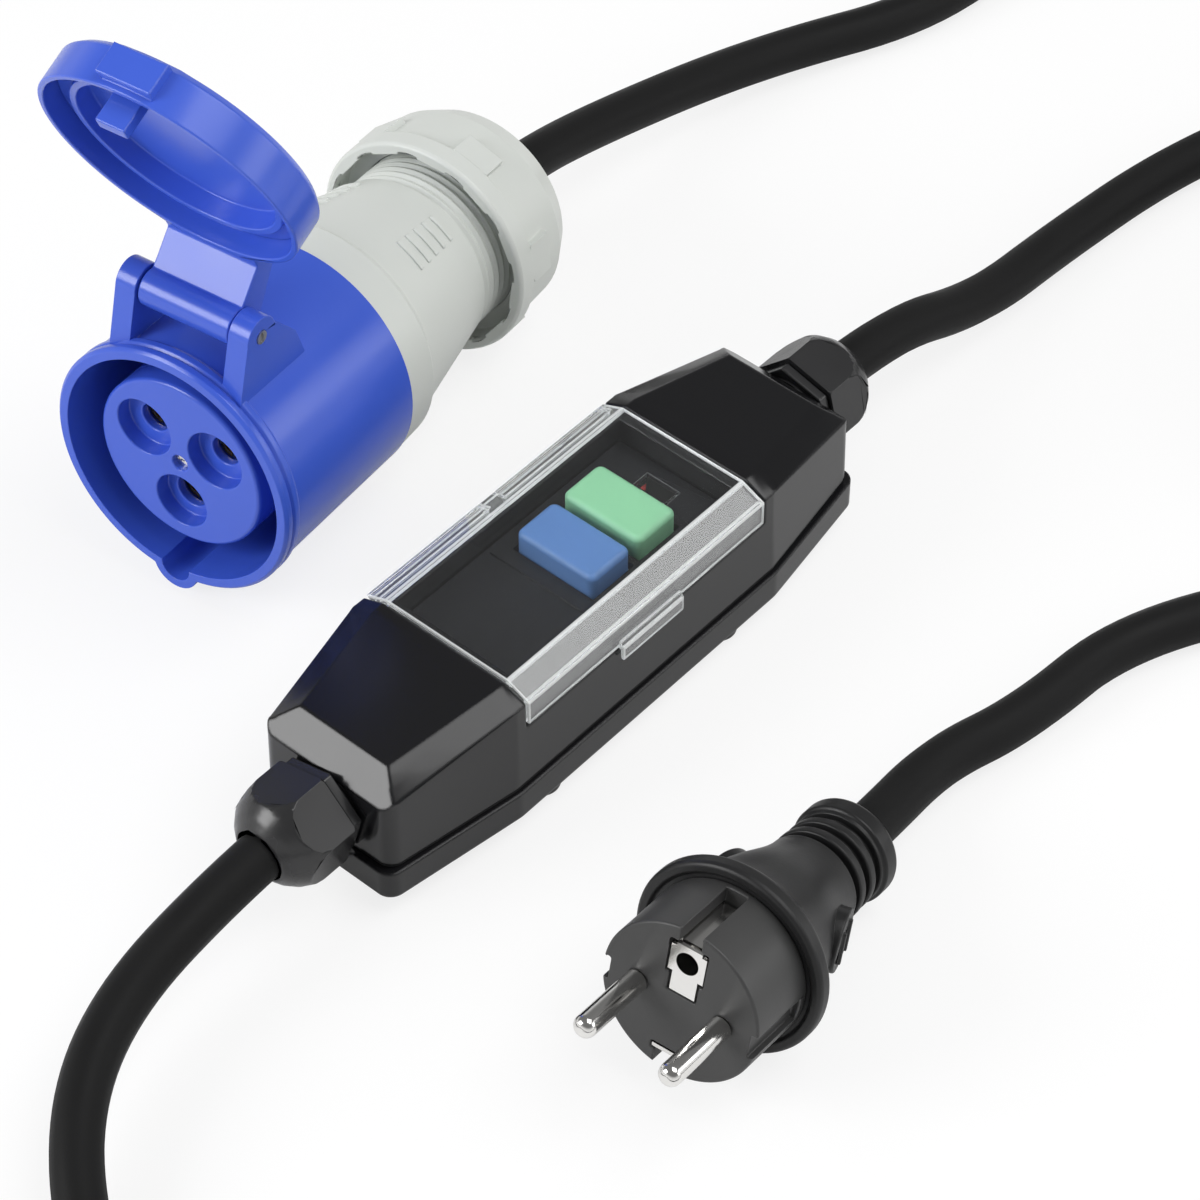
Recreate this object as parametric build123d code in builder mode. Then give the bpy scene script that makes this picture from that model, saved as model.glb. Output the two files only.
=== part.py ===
from build123d import *
import os
from math import atan2, cos, degrees, pi, radians, sin, tan

os.makedirs("parts", exist_ok=True)

# Driving dimensions in millimetres and degrees. The origin is under the middle of the box,
# +X runs along the box, +Z is up and everything lies on z = 0.

# Cord
cord_radius = 5.25
lying_height = cord_radius + 0.05
cord_hole_radius = 5.55

# Box
kink_x = 40.0
base_half_length = 73.2
base_half_width = 23.0
base_end_half_width = 17.8
foot_height = 5.0
foot_slope = 40.0
joint_height = 12.0
gasket_thickness = 1.0
shell_bottom = joint_height + gasket_thickness
shell_half_length = 71.9
shell_half_width = 22.2
shell_end_half_width = 17.0
shell_draft = 1.2
wall = 2.2
corner_radius = 3.5
kink_radius = 9.0
roof_height = 37.9
roof_half_width = 16.2
chamfer_drop = 2.4
chamfer_width = 5.5
shelf_bottom = 26.6
panel_bottom = 28.6
panel_top = 30.4
panel_half_length = 33.7
panel_half_width = 15.0
pocket_gap = 0.3

# Clear cover and its hinge
cover_half_length = 36.3
cover_thickness = 1.4
saddle_half_length = 36.8
hinge_y = 20.0
hinge_z = 33.2
barrel_radius = 1.9
rod_radius = 0.8
rod_half_length = 38.4
ear_half_width = 2.0
ear_radius = 1.45

# Buttons
test_x = 1.9
reset_x = 16.2
button_length = 12.0
button_width = 21.0
button_top = 36.0
button_bottom = 27.0
button_gap = 0.3
button_travel = 2.0
stem_radius = 2.5
test_stem_bottom = 20.4
reset_stem_bottom = 20.0
guide_bottom = 20.0
guide_top = 21.5

# Circuit board and what stands on it
board_bottom = 9.0
board_top = 10.6
board_half_length = 50.0
board_half_width = 12.4
carrier_bottom = 17.0
carrier_top = 19.9
post_radius = 1.4
post_y = 7.0
flag_x = 27.8
flag_z = 21.5
flag_radius = 6.3

# Glands
gland_height = 21.0
gland_radius = 8.0
gland_bore = 7.1
gland_flange = (72.3, 74.7)
gland_flange_across_flats = 19.0
nut_across_flats = 20.8
gland_tip = 90.3

# Socket on the short cord: its face centre, heading and tilt
socket_face_at = (-36.8, 76.55, 34.95)
socket_heading = 7.88
socket_tilt = 4.2
mouth_radius = 27.0
shroud_radius = 29.0
bead_radius = 29.7
shroud_length = 46.0
socket_depth = 37.0
insert_radius = 20.5
insert_front = 3.0
contact_pitch_radius = 10.5
live_bore = 2.5
earth_bore = 3.0
key_radius = 5.6
key_drop = 32.7
lid_hinge_back = 10.0
lid_hinge_up = 37.5
lid_open_angle = 154.0
lid_radius = 29.6
lid_front = -0.5
lid_back = -10.5
lid_pin_radius = 1.5
lid_barrel_radius = 4.2
lid_barrel_half = 11.3
lug_inner = 11.7
lug_outer = 16.7
collar_nut_front = 90.4
collar_nut_back = 114.0

# Plug on the long cord: its face centre, heading and tilt
plug_face_at = (-66.3, -86.0, 24.8)
plug_heading = 5.8
plug_tilt = 13.1
plug_radius = 17.4
plug_flange_radius = 21.0
plug_flange_back = 19.5
pin_radius = 2.4
pin_length = 19.0
pin_root_radius = 2.0
pin_root_start = 0.4
pin_half_spacing = 9.5
earth_hole_up = 10.0
plug_length = 62.0


def save(piece, name):
    """Labels a finished piece and writes it to its own file."""
    piece.part.label = name
    export_step(piece.part, f"parts/{name}.step")


def leaning_plane(origin, heading, tilt):
    """The plane of a connector's face: its normal runs back along the axis and its Y is up."""
    flat = cos(radians(tilt))
    back = (cos(radians(heading)) * flat, sin(radians(heading)) * flat, -sin(radians(tilt)))
    left = (-sin(radians(heading)), cos(radians(heading)), 0)
    return Plane(origin=origin, x_dir=left, z_dir=back)


def section_plane(face):
    """The upright plane along a connector's axis: its X runs back and its Y is up."""
    return Plane(origin=face.origin, x_dir=face.z_dir, z_dir=face.x_dir * -1)


socket_face = leaning_plane(socket_face_at, socket_heading, socket_tilt)
socket_section = section_plane(socket_face)
socket_axis = Axis(origin=socket_face_at, direction=socket_face.z_dir)
plug_face = leaning_plane(plug_face_at, plug_heading, plug_tilt)
plug_section = section_plane(plug_face)
plug_axis = Axis(origin=plug_face_at, direction=plug_face.z_dir)


def round_bar(face, radius, start, end, spots=((0, 0),), mode=Mode.ADD):
    """Cylinders along a plane's normal, from start to end, at spots given in that plane."""
    with Locations(*[face.offset(start).location * Location((x, y, 0)) for x, y in spots]):
        Cylinder(radius, end - start, align=(Align.CENTER, Align.CENTER, Align.MIN), mode=mode)


def block(low, high, mode=Mode.ADD):
    """A box between two corners."""
    middle = tuple((a + b) / 2 for a, b in zip(low, high))
    with Locations(middle):
        Box(*[b - a for a, b in zip(low, high)], mode=mode)


def hexagon_outline(half_length, half_width, end_half_width, rounding=True):
    """The box's plan: long sides that taper past the kinks. Drawn in the sketch that is open."""
    corners = [
        (-half_length, -end_half_width),
        (-kink_x, -half_width),
        (kink_x, -half_width),
        (half_length, -end_half_width),
        (half_length, end_half_width),
        (kink_x, half_width),
        (-kink_x, half_width),
        (-half_length, end_half_width),
    ]
    Polygon(*corners, align=None)
    return corners


def round_outline(sketch, half_length):
    """Rounds an outline's end corners and, more softly, its kinks."""
    ends = [v for v in sketch.vertices() if abs(v.X) > half_length - 0.01]
    fillet(ends, corner_radius)
    kinks = [v for v in sketch.vertices() if abs(abs(v.X) - kink_x) < 0.01]
    fillet(kinks, kink_radius)


# Base shell

case_screw_spots = [
    (end * x, side * y)
    for x, y in ((62.5, 11.0), (28.0, 17.2))
    for end in (-1, 1)
    for side in (-1, 1)
]
board_post_spots = [(sx * 44.0, sy * 10.0) for sx in (-1, 1) for sy in (-1, 1)]
screw_head_radius = 2.9
screw_radius = 1.5
screw_top = 21.0

with BuildPart() as base_shell:
    with BuildSketch(Plane.XY.offset(foot_height)) as foot_outline:
        hexagon_outline(base_half_length, base_half_width, base_end_half_width)
        round_outline(foot_outline, base_half_length)
    extrude(amount=joint_height - foot_height)
    with BuildSketch(Plane.XY.offset(foot_height)) as under_outline:
        hexagon_outline(base_half_length, base_half_width, base_end_half_width)
        round_outline(under_outline, base_half_length)
    extrude(amount=foot_height, dir=(0, 0, -1), taper=foot_slope)
    with BuildSketch(Plane.XY.offset(joint_height)) as tray_outline:
        inset = foot_height + 1.0
        hexagon_outline(base_half_length - inset, base_half_width - inset, base_end_half_width - inset)
    extrude(amount=-(joint_height - wall), mode=Mode.SUBTRACT)
    round_bar(Plane.XY, 4.2, 1.0, joint_height, case_screw_spots)
    round_bar(Plane.XY, 3.0, 1.5, board_bottom, board_post_spots)
    round_bar(Plane.XY, screw_head_radius + 0.3, -1.0, 3.4, case_screw_spots, Mode.SUBTRACT)
    round_bar(Plane.XY, screw_radius + 0.2, 0.0, joint_height + 1, case_screw_spots, Mode.SUBTRACT)
    # Shallow end recesses that clear the hexagonal flanges of the glands
    for side in (-1, 1):
        low, high = sorted((side * (gland_flange[0] - 0.1), side * 80.0))
        round_bar(Plane.YZ, 12.3, low, high, [(0, gland_height)], Mode.SUBTRACT)
save(base_shell, "base_shell")

# Seal between the two shells

with BuildPart() as shell_gasket:
    with BuildSketch(Plane.XY.offset(joint_height)) as gasket_outline:
        hexagon_outline(shell_half_length - 0.5, shell_half_width - 0.5, shell_end_half_width - 0.5)
        round_outline(gasket_outline, shell_half_length - 0.5)
        inset = foot_height + 1.0
        with BuildSketch(mode=Mode.SUBTRACT):
            hexagon_outline(base_half_length - inset, base_half_width - inset, base_end_half_width - inset)
    extrude(amount=gasket_thickness)
    round_bar(Plane.XY, screw_radius + 0.2, joint_height - 1, shell_bottom + 1, case_screw_spots, Mode.SUBTRACT)
save(shell_gasket, "shell_gasket")

# Top shell: a tapered block trimmed by the faceted roof

roof_end_x = 74.0
roof_end_height = 34.06
roof_end_half_width = 10.25
roof_end_drop = 3.72
band_top = (65.7, 35.0)
band_bottom = (74.7, 26.0)


def roof_section(height, half_width, drop):
    """One cross-section of the roof, with its sloping chamfers run on past the walls."""
    low_y = half_width + 2 * chamfer_width
    low_z = height - 2 * drop
    Polygon(
        (-low_y, 5.0),
        (low_y, 5.0),
        (low_y, low_z),
        (half_width, height),
        (-half_width, height),
        (-low_y, low_z),
        align=None,
    )


with BuildPart() as roof_form:
    with BuildSketch(Plane.YZ.offset(-kink_x)):
        roof_section(roof_height, roof_half_width, chamfer_drop)
    extrude(amount=2 * kink_x)
    for side in (-1, 1):
        with BuildSketch(Plane.YZ.offset(side * kink_x)):
            roof_section(roof_height, roof_half_width, chamfer_drop)
        with BuildSketch(Plane.YZ.offset(side * roof_end_x)):
            roof_section(roof_end_height, roof_end_half_width, roof_end_drop)
        loft(ruled=True)
        with BuildSketch(Plane.XZ.offset(-40)):
            over = (side * 80.0, 45.0)
            Polygon(
                (side * band_top[0], band_top[1]),
                (side * band_bottom[0], band_bottom[1]),
                over,
                align=None,
            )
        extrude(amount=80, mode=Mode.SUBTRACT)

cover_outer = [(-22.1, 29.3), (-22.1, 35.6), (-16.3, 38.2), (16.3, 38.2), (21.9, 35.7)]
cover_inner = [(-20.7, 29.3), (-20.7, 34.75), (-16.0, 36.8), (16.0, 36.8), (20.5, 34.85)]
saddle = [
    (-26.0, 28.9),
    (-20.35, 28.9),
    (-20.35, 34.45),
    (-15.9, 36.4),
    (15.9, 36.4),
    (16.6, 34.0),
    (16.6, 31.4),
    (18.2, 29.7),
    (26.0, 29.7),
    (26.0, 42.0),
    (-26.0, 42.0),
]
gland_spots = [(0, gland_height)]
post_inset = 4.0

with BuildPart() as top_shell:
    with BuildSketch(Plane.XY.offset(shell_bottom)) as shell_outline:
        hexagon_outline(shell_half_length, shell_half_width, shell_end_half_width)
        round_outline(shell_outline, shell_half_length)
    extrude(amount=27.0, taper=shell_draft)
    add(roof_form.part, mode=Mode.INTERSECT)
    with BuildSketch(Plane.XY.offset(shell_bottom)):
        inset = wall + 0.4
        hexagon_outline(shell_half_length - inset, shell_half_width - inset, shell_end_half_width - inset)
    extrude(amount=shelf_bottom - shell_bottom, mode=Mode.SUBTRACT)
    for side in (-1, 1):
        near_x, far_x = sorted((side * 39, side * 62))
        block((near_x, -11, shelf_bottom - 1), (far_x, 11, 32), Mode.SUBTRACT)
    pocket_half_length = panel_half_length + pocket_gap
    pocket_half_width = panel_half_width + pocket_gap
    block(
        (-pocket_half_length, -pocket_half_width, panel_bottom),
        (pocket_half_length, pocket_half_width, 40),
        Mode.SUBTRACT,
    )
    block((-5.2, -12.8, shelf_bottom - 1), (32.0, 12.8, 40), Mode.SUBTRACT)
    with BuildSketch(Plane.YZ.offset(-saddle_half_length)):
        Polygon(*saddle, align=None)
    extrude(amount=2 * saddle_half_length, mode=Mode.SUBTRACT)
    # The hinge ear in the middle, and the rod's hole through it and into both shoulders
    block((-ear_half_width, hinge_y - ear_radius, 28.0), (ear_half_width, hinge_y + ear_radius, hinge_z))
    round_bar(Plane.YZ, ear_radius, -ear_half_width, ear_half_width, [(hinge_y, hinge_z)])
    rod_spots = [(hinge_y, hinge_z)]
    round_bar(Plane.YZ, rod_radius + 0.02, -rod_half_length, rod_half_length, rod_spots, Mode.SUBTRACT)
    # Screw pillars and gland holes
    round_bar(Plane.XY, 2.9, shell_bottom, shelf_bottom + 0.5, case_screw_spots)
    round_bar(Plane.XY, screw_radius + 0.02, shell_bottom - 1, screw_top, case_screw_spots, Mode.SUBTRACT)
    round_bar(Plane.YZ, gland_radius + 0.05, -80, 80, gland_spots, Mode.SUBTRACT)
save(top_shell, "top_shell")

with BuildPart() as case_screws:
    round_bar(Plane.XY, screw_head_radius, 0.9, 3.3, case_screw_spots)
    round_bar(Plane.XY, screw_radius, 3.3, screw_top - 0.5, case_screw_spots)
    with Locations(*[(x, y, 0.9) for x, y in case_screw_spots]):
        Box(3.6, 0.8, 2.0, mode=Mode.SUBTRACT)
        Box(0.8, 3.6, 2.0, mode=Mode.SUBTRACT)
save(case_screws, "case_screws")

# Black panel under the cover, with its raised frame round the buttons

button_holes = [(test_x, 0), (reset_x, 0)]
window_x = 27.8
window_length = 5.0
window_width = 9.0

with BuildPart() as face_panel:
    block(
        (-panel_half_length, -panel_half_width, panel_bottom),
        (panel_half_length, panel_half_width, panel_top),
    )
    block((-8.2, -13.8, panel_top), (24.4, 13.8, panel_top + 0.5))
    with Locations(*[(x, y, panel_top) for x, y in button_holes]):
        Box(button_length + 2 * button_gap, button_width + 2 * button_gap, 8, mode=Mode.SUBTRACT)
    with Locations((window_x, 0, panel_top)):
        Box(window_length, window_width, 8, mode=Mode.SUBTRACT)
save(face_panel, "face_panel")

with BuildPart() as indicator_lens:
    with Locations((window_x, 0, panel_top - 0.2)):
        Box(window_length, window_width, 1.4)
    fillet(indicator_lens.faces().sort_by(Axis.Z)[-1].edges(), 0.5)
save(indicator_lens, "indicator_lens")

# Clear cover that swings up on a rod along the far edge

lip_half_length = 9.35
lip_profile = [
    (-21.2, 30.9),
    (-22.3, 31.3),
    (-23.4, 29.9),
    (-23.4, 26.3),
    (-22.35, 26.3),
    (-22.35, 29.25),
    (-21.2, 29.3),
]

with BuildPart() as clear_cover:
    with BuildSketch(Plane.YZ.offset(-cover_half_length)):
        Polygon(*cover_outer, *reversed(cover_inner), align=None)
    extrude(amount=2 * cover_half_length)
    with BuildSketch(Plane.YZ.offset(-lip_half_length)):
        Polygon(*lip_profile, align=None)
    extrude(amount=2 * lip_half_length)
    for side in (-1, 1):
        inner = side * (ear_half_width + 0.4)
        outer = side * (cover_half_length - 1.0)
        low, high = sorted((inner, outer))
        round_bar(Plane.YZ, barrel_radius, low, high, [(hinge_y, hinge_z)])
        with BuildSketch(Plane.YZ.offset(low)):
            Polygon((18.6, 35.9), (21.9, 35.7), (21.9, hinge_z), (18.6, hinge_z), align=None)
        extrude(amount=high - low)
    round_bar(Plane.YZ, rod_radius + 0.05, -40, 40, [(hinge_y, hinge_z)], Mode.SUBTRACT)
save(clear_cover, "clear_cover")

with BuildPart() as cover_rod:
    round_bar(Plane.YZ, rod_radius, -rod_half_length + 0.2, rod_half_length - 0.2, [(hinge_y, hinge_z)])
save(cover_rod, "cover_rod")

# Buttons, their springs and the guide that both stems run in

flange_half_width = 12.3


def make_button(x, stem_bottom, name):
    """A button with a soft-edged cap, a flange that stops it under the panel, and a stem."""
    with BuildPart() as button:
        block(
            (x - button_length / 2, -button_width / 2, button_bottom),
            (x + button_length / 2, button_width / 2, button_top),
        )
        fillet(button.edges().filter_by(Axis.Z), 1.8)
        fillet(button.faces().sort_by(Axis.Z)[-1].edges(), 1.3)
        block(
            (x - button_length / 2, -flange_half_width, button_bottom - 0.2),
            (x + button_length / 2, flange_half_width, panel_bottom - button_gap),
        )
        round_bar(Plane.XY, stem_radius, stem_bottom, button_bottom, [(x, 0)])
    save(button, name)


spring_wire = 0.3
spring_radius = 3.9
spring_bottom = guide_top + spring_wire + 0.02
spring_height = button_bottom - 0.2 - guide_top - 2 * spring_wire - 0.04


def make_spring(x, name):
    """A small coil spring round a button's stem."""
    with BuildPart() as spring:
        with BuildLine() as turns:
            Helix(
                pitch=spring_height / 4,
                height=spring_height,
                radius=spring_radius,
                center=(x, 0, spring_bottom),
            )
        with BuildSketch(Plane(origin=turns.line @ 0, z_dir=turns.line % 0)):
            Circle(spring_wire)
        sweep(path=turns.line, is_frenet=True)
    save(spring, name)


make_button(test_x, test_stem_bottom, "test_button")
make_button(reset_x, reset_stem_bottom, "reset_button")
make_spring(test_x, "test_spring")
make_spring(reset_x, "reset_spring")

with BuildPart() as button_guide:
    block((-7.5, -14.6, guide_bottom), (23.0, 14.6, guide_top))
    for x in (-6.5, 22.0):
        for y in (-13.8, 13.8):
            block((x - 1.0, y - 0.8, guide_top), (x + 1.0, y + 0.8, shelf_bottom))
    round_bar(Plane.XY, stem_radius + 0.08, guide_bottom - 1, guide_top + 1, button_holes, Mode.SUBTRACT)
save(button_guide, "button_guide")

# Circuit board, contacts, sensing ring and trip coil

with BuildPart() as circuit_board:
    block(
        (-board_half_length, -board_half_width, board_bottom),
        (board_half_length, board_half_width, board_top),
    )
    round_bar(Plane.XY, 1.3, board_bottom - 1, board_top + 1, board_post_spots, Mode.SUBTRACT)
save(circuit_board, "circuit_board")

contact_y = 3.6
contact_half_span = 5.0
contact_top = 12.9
pad_radius = 1.3
contact_spots = [
    (reset_x + dx, dy)
    for dx in (-contact_half_span, contact_half_span)
    for dy in (-contact_y, contact_y)
]
post_spots = [(reset_x, -post_y), (reset_x, post_y)]
carrier_half_length = 5.8
carrier_half_width = 9.4
flag_ear_y = 5.0
axle_radius = 0.8

with BuildPart() as contact_base:
    block((reset_x - 7.5, -10.0, board_top), (reset_x + 7.0, 10.0, 12.0))
    round_bar(Plane.XY, post_radius, 12.0, 19.7, post_spots)
    block((reset_x + 6.0, -6.2, board_top), (flag_x + 2.0, 6.2, 12.0))
    for y in (-flag_ear_y, flag_ear_y):
        block((flag_x - 2.0, y - 0.6, 12.0), (flag_x + 2.0, y + 0.6, flag_z + 1.9))
    round_bar(Plane.XZ, axle_radius, -flag_ear_y - 0.6, flag_ear_y + 0.6, [(flag_x, flag_z)])
save(contact_base, "contact_base")

with BuildPart() as fixed_contacts:
    round_bar(Plane.XY, pad_radius, 12.0, contact_top, contact_spots)
save(fixed_contacts, "fixed_contacts")

with BuildPart() as contact_carrier:
    block(
        (reset_x - carrier_half_length, -carrier_half_width, carrier_bottom),
        (reset_x + carrier_half_length, carrier_half_width, carrier_top),
    )
    round_bar(Plane.XY, post_radius + 0.06, carrier_bottom - 1, carrier_top + 1, post_spots, Mode.SUBTRACT)
save(contact_carrier, "contact_carrier")

with BuildPart() as moving_contacts:
    for y in (-contact_y, contact_y):
        block((reset_x - 6.6, y - 1.5, 16.2), (reset_x + 6.6, y + 1.5, carrier_bottom))
    round_bar(Plane.XY, pad_radius, contact_top + button_travel + 0.3, 16.2, contact_spots)
save(moving_contacts, "moving_contacts")

flag_half_angle = 34.0

with BuildPart() as indicator_flag:
    with BuildSketch(Plane.XZ.offset(-4.0)):
        with Locations((flag_x, flag_z)):
            Circle(1.8)
        with BuildLine():
            spread_x = flag_radius * sin(radians(flag_half_angle))
            spread_z = flag_radius * cos(radians(flag_half_angle))
            start = (flag_x - spread_x, flag_z + spread_z)
            end = (flag_x + spread_x, flag_z + spread_z)
            ThreePointArc(start, (flag_x, flag_z + flag_radius), end)
            Line(end, (flag_x + 1.0, flag_z))
            Line((flag_x + 1.0, flag_z), (flag_x - 1.0, flag_z))
            Line((flag_x - 1.0, flag_z), start)
        make_face()
    extrude(amount=8.0)
    round_bar(Plane.XZ, axle_radius + 0.05, -6, 6, [(flag_x, flag_z)], Mode.SUBTRACT)
save(indicator_flag, "indicator_flag")

with BuildPart() as test_contact:
    block((test_x - 6.0, -1.5, board_top), (test_x - 5.2, 1.5, 17.5))
    block((test_x - 6.0, -1.5, 17.5), (test_x + 3.0, 1.5, 18.3))
    block((test_x - 1.0, -1.5, board_top), (test_x + 3.0, 1.5, 13.2))
save(test_contact, "test_contact")

coil_y = -9.2
coil_z = 15.6
plunger_radius = 1.2
plunger_travel = 1.5

with BuildPart() as trip_coil:
    block((30.3, coil_y - 3.0, board_top), (39.8, coil_y + 3.0, 19.0))
    round_bar(Plane.YZ, plunger_radius + 0.06, 29.0, 37.0, [(coil_y, coil_z)], Mode.SUBTRACT)
save(trip_coil, "trip_coil")

with BuildPart() as trip_plunger:
    round_bar(Plane.YZ, plunger_radius, 24.4, 35.0, [(coil_y, coil_z)])
    round_bar(Plane.YZ, 2.2, 26.6, 27.6, [(coil_y, coil_z)])
save(trip_plunger, "trip_plunger")

ring_x = -20.0
ring_z = 18.4

with BuildPart() as sensing_ring:
    round_bar(Plane.YZ, 7.7, ring_x - 3.5, ring_x + 3.5, [(0, ring_z)])
    round_bar(Plane.YZ, 4.0, ring_x - 5, ring_x + 5, [(0, ring_z)], Mode.SUBTRACT)
    block((ring_x - 3.0, -5.0, board_top), (ring_x + 3.0, 5.0, 12.2))
save(sensing_ring, "sensing_ring")

terminal_top = 19.0
terminal_rows = (-8.0, 0.0, 8.0)
earth_row = 8.0


def make_terminals(x, name):
    """A three-way terminal block standing on the board."""
    with BuildPart() as terminals:
        block((x - 4.0, -12.0, board_top), (x + 4.0, 12.0, terminal_top))
        round_bar(Plane.XY, 1.7, 17.0, terminal_top + 1, [(x, y) for y in terminal_rows], Mode.SUBTRACT)
        round_bar(Plane.YZ, 1.5, x - 5, x - 1.0, [(y, 14.0) for y in terminal_rows], Mode.SUBTRACT)
        round_bar(Plane.YZ, 1.5, x + 1.0, x + 5, [(y, 14.0) for y in terminal_rows], Mode.SUBTRACT)
    save(terminals, name)


inlet_x = -40.0
outlet_x = 45.0
make_terminals(inlet_x, "inlet_terminals")
make_terminals(outlet_x, "outlet_terminals")

with BuildPart() as terminal_screws:
    heads = [(x, y) for x in (inlet_x, outlet_x) for y in terminal_rows]
    round_bar(Plane.XY, 1.6, 17.0, 18.8, heads)
    with Locations(*[(x, y, 18.8) for x, y in heads]):
        Box(2.6, 0.6, 1.0, mode=Mode.SUBTRACT)
save(terminal_screws, "terminal_screws")

wire_radius = 1.35
wire_bend = 3.0


def wire(points):
    """One insulated conductor, adding to the part that is open."""
    with BuildPart(mode=Mode.PRIVATE) as conductor:
        with BuildLine() as route:
            FilletPolyline(*points, radius=wire_bend)
        with BuildSketch(Plane(origin=route.line @ 0, z_dir=route.line % 0)):
            Circle(wire_radius)
        sweep(path=route.line)
    return conductor.part


lead_start = 66.5
with BuildPart() as lead_wires:
    for side, block_x in ((-1, inlet_x), (1, outlet_x)):
        entry = block_x + side * 1.2
        for row, offset in zip(terminal_rows, (-2.9, 0.0, 2.9)):
            bend_x = block_x + side * 14
            lift = gland_height + (1.4 if offset == 0 else -1.4)
            stripped_end = (side * lead_start, offset, lift)
            add(wire([stripped_end, (bend_x, offset, lift), (block_x + side * 7, row, 14), (entry, row, 14)]))
save(lead_wires, "lead_wires")

with BuildPart() as power_wires:
    for row, side in ((-8.0, -1), (0.0, 1)):
        add(
            wire([
                (inlet_x + 1.2, row, 14),
                (inlet_x + 7.5, row, 14),
                (ring_x - 7.0, side * 1.9, ring_z),
                (ring_x + 7.0, side * 1.9, ring_z),
                (ring_x + 14.0, side * 5.0, 13.6),
                (reset_x - 19.0, side * 7.0, 12.2),
                (reset_x - 7.6, side * 7.0, 12.2),
            ])
        )
save(power_wires, "power_wires")

with BuildPart() as earth_wire:
    add(
        wire([
            (inlet_x + 1.2, earth_row, 14),
            (inlet_x + 9.0, earth_row, 14),
            (inlet_x + 17.0, 11.9, 12.2),
            (26.0, 11.9, 12.2),
            (outlet_x - 8.0, earth_row, 14),
            (outlet_x - 1.2, earth_row, 14),
        ])
    )
save(earth_wire, "earth_wire")

# Cord glands at both ends of the box

nut_front = 75.0
nut_dome = [
    (nut_front, 11.7),
    (75.6, 12.2),
    (81.0, 12.2),
    (84.0, 11.5),
    (86.6, 10.2),
    (88.6, 8.5),
    (gland_tip, 6.3),
]
seal_end = 80.0


def make_gland(side, prefix):
    """A threaded gland body, its rubber seal and its domed nut, on one end of the box."""
    end_plane = Plane(origin=(0, 0, gland_height), x_dir=(0, side, 0), z_dir=(side, 0, 0))
    with BuildPart() as body:
        round_bar(end_plane, gland_radius, 66.5, gland_flange[1])
        with BuildSketch(end_plane.offset(gland_flange[0])):
            RegularPolygon(gland_flange_across_flats / 2, 6, major_radius=False, rotation=15)
        extrude(amount=gland_flange[1] - gland_flange[0])
        round_bar(end_plane, 7.6, gland_flange[1], 81.0)
        round_bar(end_plane, cord_hole_radius, 60, 90, mode=Mode.SUBTRACT)
        round_bar(end_plane, gland_bore - 0.6, seal_end - 6.0, 90, mode=Mode.SUBTRACT)
    save(body, f"{prefix}_gland_body")
    with BuildPart() as seal:
        round_bar(end_plane, gland_bore - 0.7, seal_end - 5.9, seal_end)
        round_bar(end_plane, 3.0, seal_end - 8, seal_end + 1, mode=Mode.SUBTRACT)
    save(seal, f"{prefix}_gland_seal")
    with BuildPart() as nut:
        with BuildSketch(end_plane.offset(nut_front)):
            RegularPolygon(nut_across_flats / 2, 6, major_radius=False, rotation=15)
        extrude(amount=gland_tip - nut_front)
        # A dome turned over the hexagon, so that its flats run out in arcs
        with BuildSketch(section_plane(end_plane)):
            Polygon(*nut_dome, (gland_tip, 0), (nut_front, 0), align=None)
        revolve(axis=Axis(origin=end_plane.origin, direction=end_plane.z_dir), mode=Mode.INTERSECT)
        round_bar(end_plane, 7.75, nut_front - 1, 81.4, mode=Mode.SUBTRACT)
        round_bar(end_plane, cord_hole_radius, 70, 95, mode=Mode.SUBTRACT)
    save(nut, f"{prefix}_gland_nut")


make_gland(-1, "near")
make_gland(1, "far")

# Socket: blue shroud with its beads, keyway and hinge lugs

key_length = 30.0
lug_profile = [(2.5, 24.0), (5.4, 37.5), (14.6, 38.3), (21.5, 31.5), (24.5, 24.0)]

with BuildPart() as socket_shroud:
    with BuildSketch(socket_section):
        Polygon(
            (0, 0),
            (0, bead_radius - 0.7),
            (0.7, bead_radius),
            (2.0, bead_radius),
            (2.5, bead_radius - 0.7),
            (3.1, bead_radius),
            (4.4, bead_radius),
            (5.2, shroud_radius),
            (shroud_length, shroud_radius - 0.2),
            (shroud_length, 0),
            align=None,
        )
    revolve(axis=socket_axis)
    with BuildSketch(socket_face):
        with Locations((0, -(key_drop - key_radius))):
            Circle(key_radius)
    extrude(amount=key_length)
    for side in (-1, 1):
        low = min(side * lug_inner, side * lug_outer)
        with BuildSketch(socket_section.offset(low)):
            Polygon(*lug_profile, align=None)
            with Locations((lid_hinge_back, lid_hinge_up)):
                Circle(lid_barrel_radius + 0.4)
        extrude(amount=lug_outer - lug_inner)
    round_bar(socket_face, mouth_radius, -1, socket_depth, mode=Mode.SUBTRACT)
    with BuildSketch(socket_face):
        with Locations((0, -(key_drop - key_radius))):
            Circle(key_radius - 2.1)
    extrude(amount=key_length - 2, mode=Mode.SUBTRACT)
    round_bar(socket_face, insert_radius + 0.1, socket_depth - 1, shroud_length + 1, mode=Mode.SUBTRACT)
    round_bar(socket_section, lid_pin_radius + 0.02, -20, 20, [(lid_hinge_back, lid_hinge_up)], Mode.SUBTRACT)
save(socket_shroud, "socket_shroud")

# Insert with three recessed contact holes, earth at the bottom

contact_angles = {"earth": -90.0, "live": 30.0, "neutral": 150.0}


def contact_spot(name):
    """A contact's place in the plane of the socket's face."""
    angle = radians(contact_angles[name])
    return (contact_pitch_radius * cos(angle), contact_pitch_radius * sin(angle))


insert_back = 9.0

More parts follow.
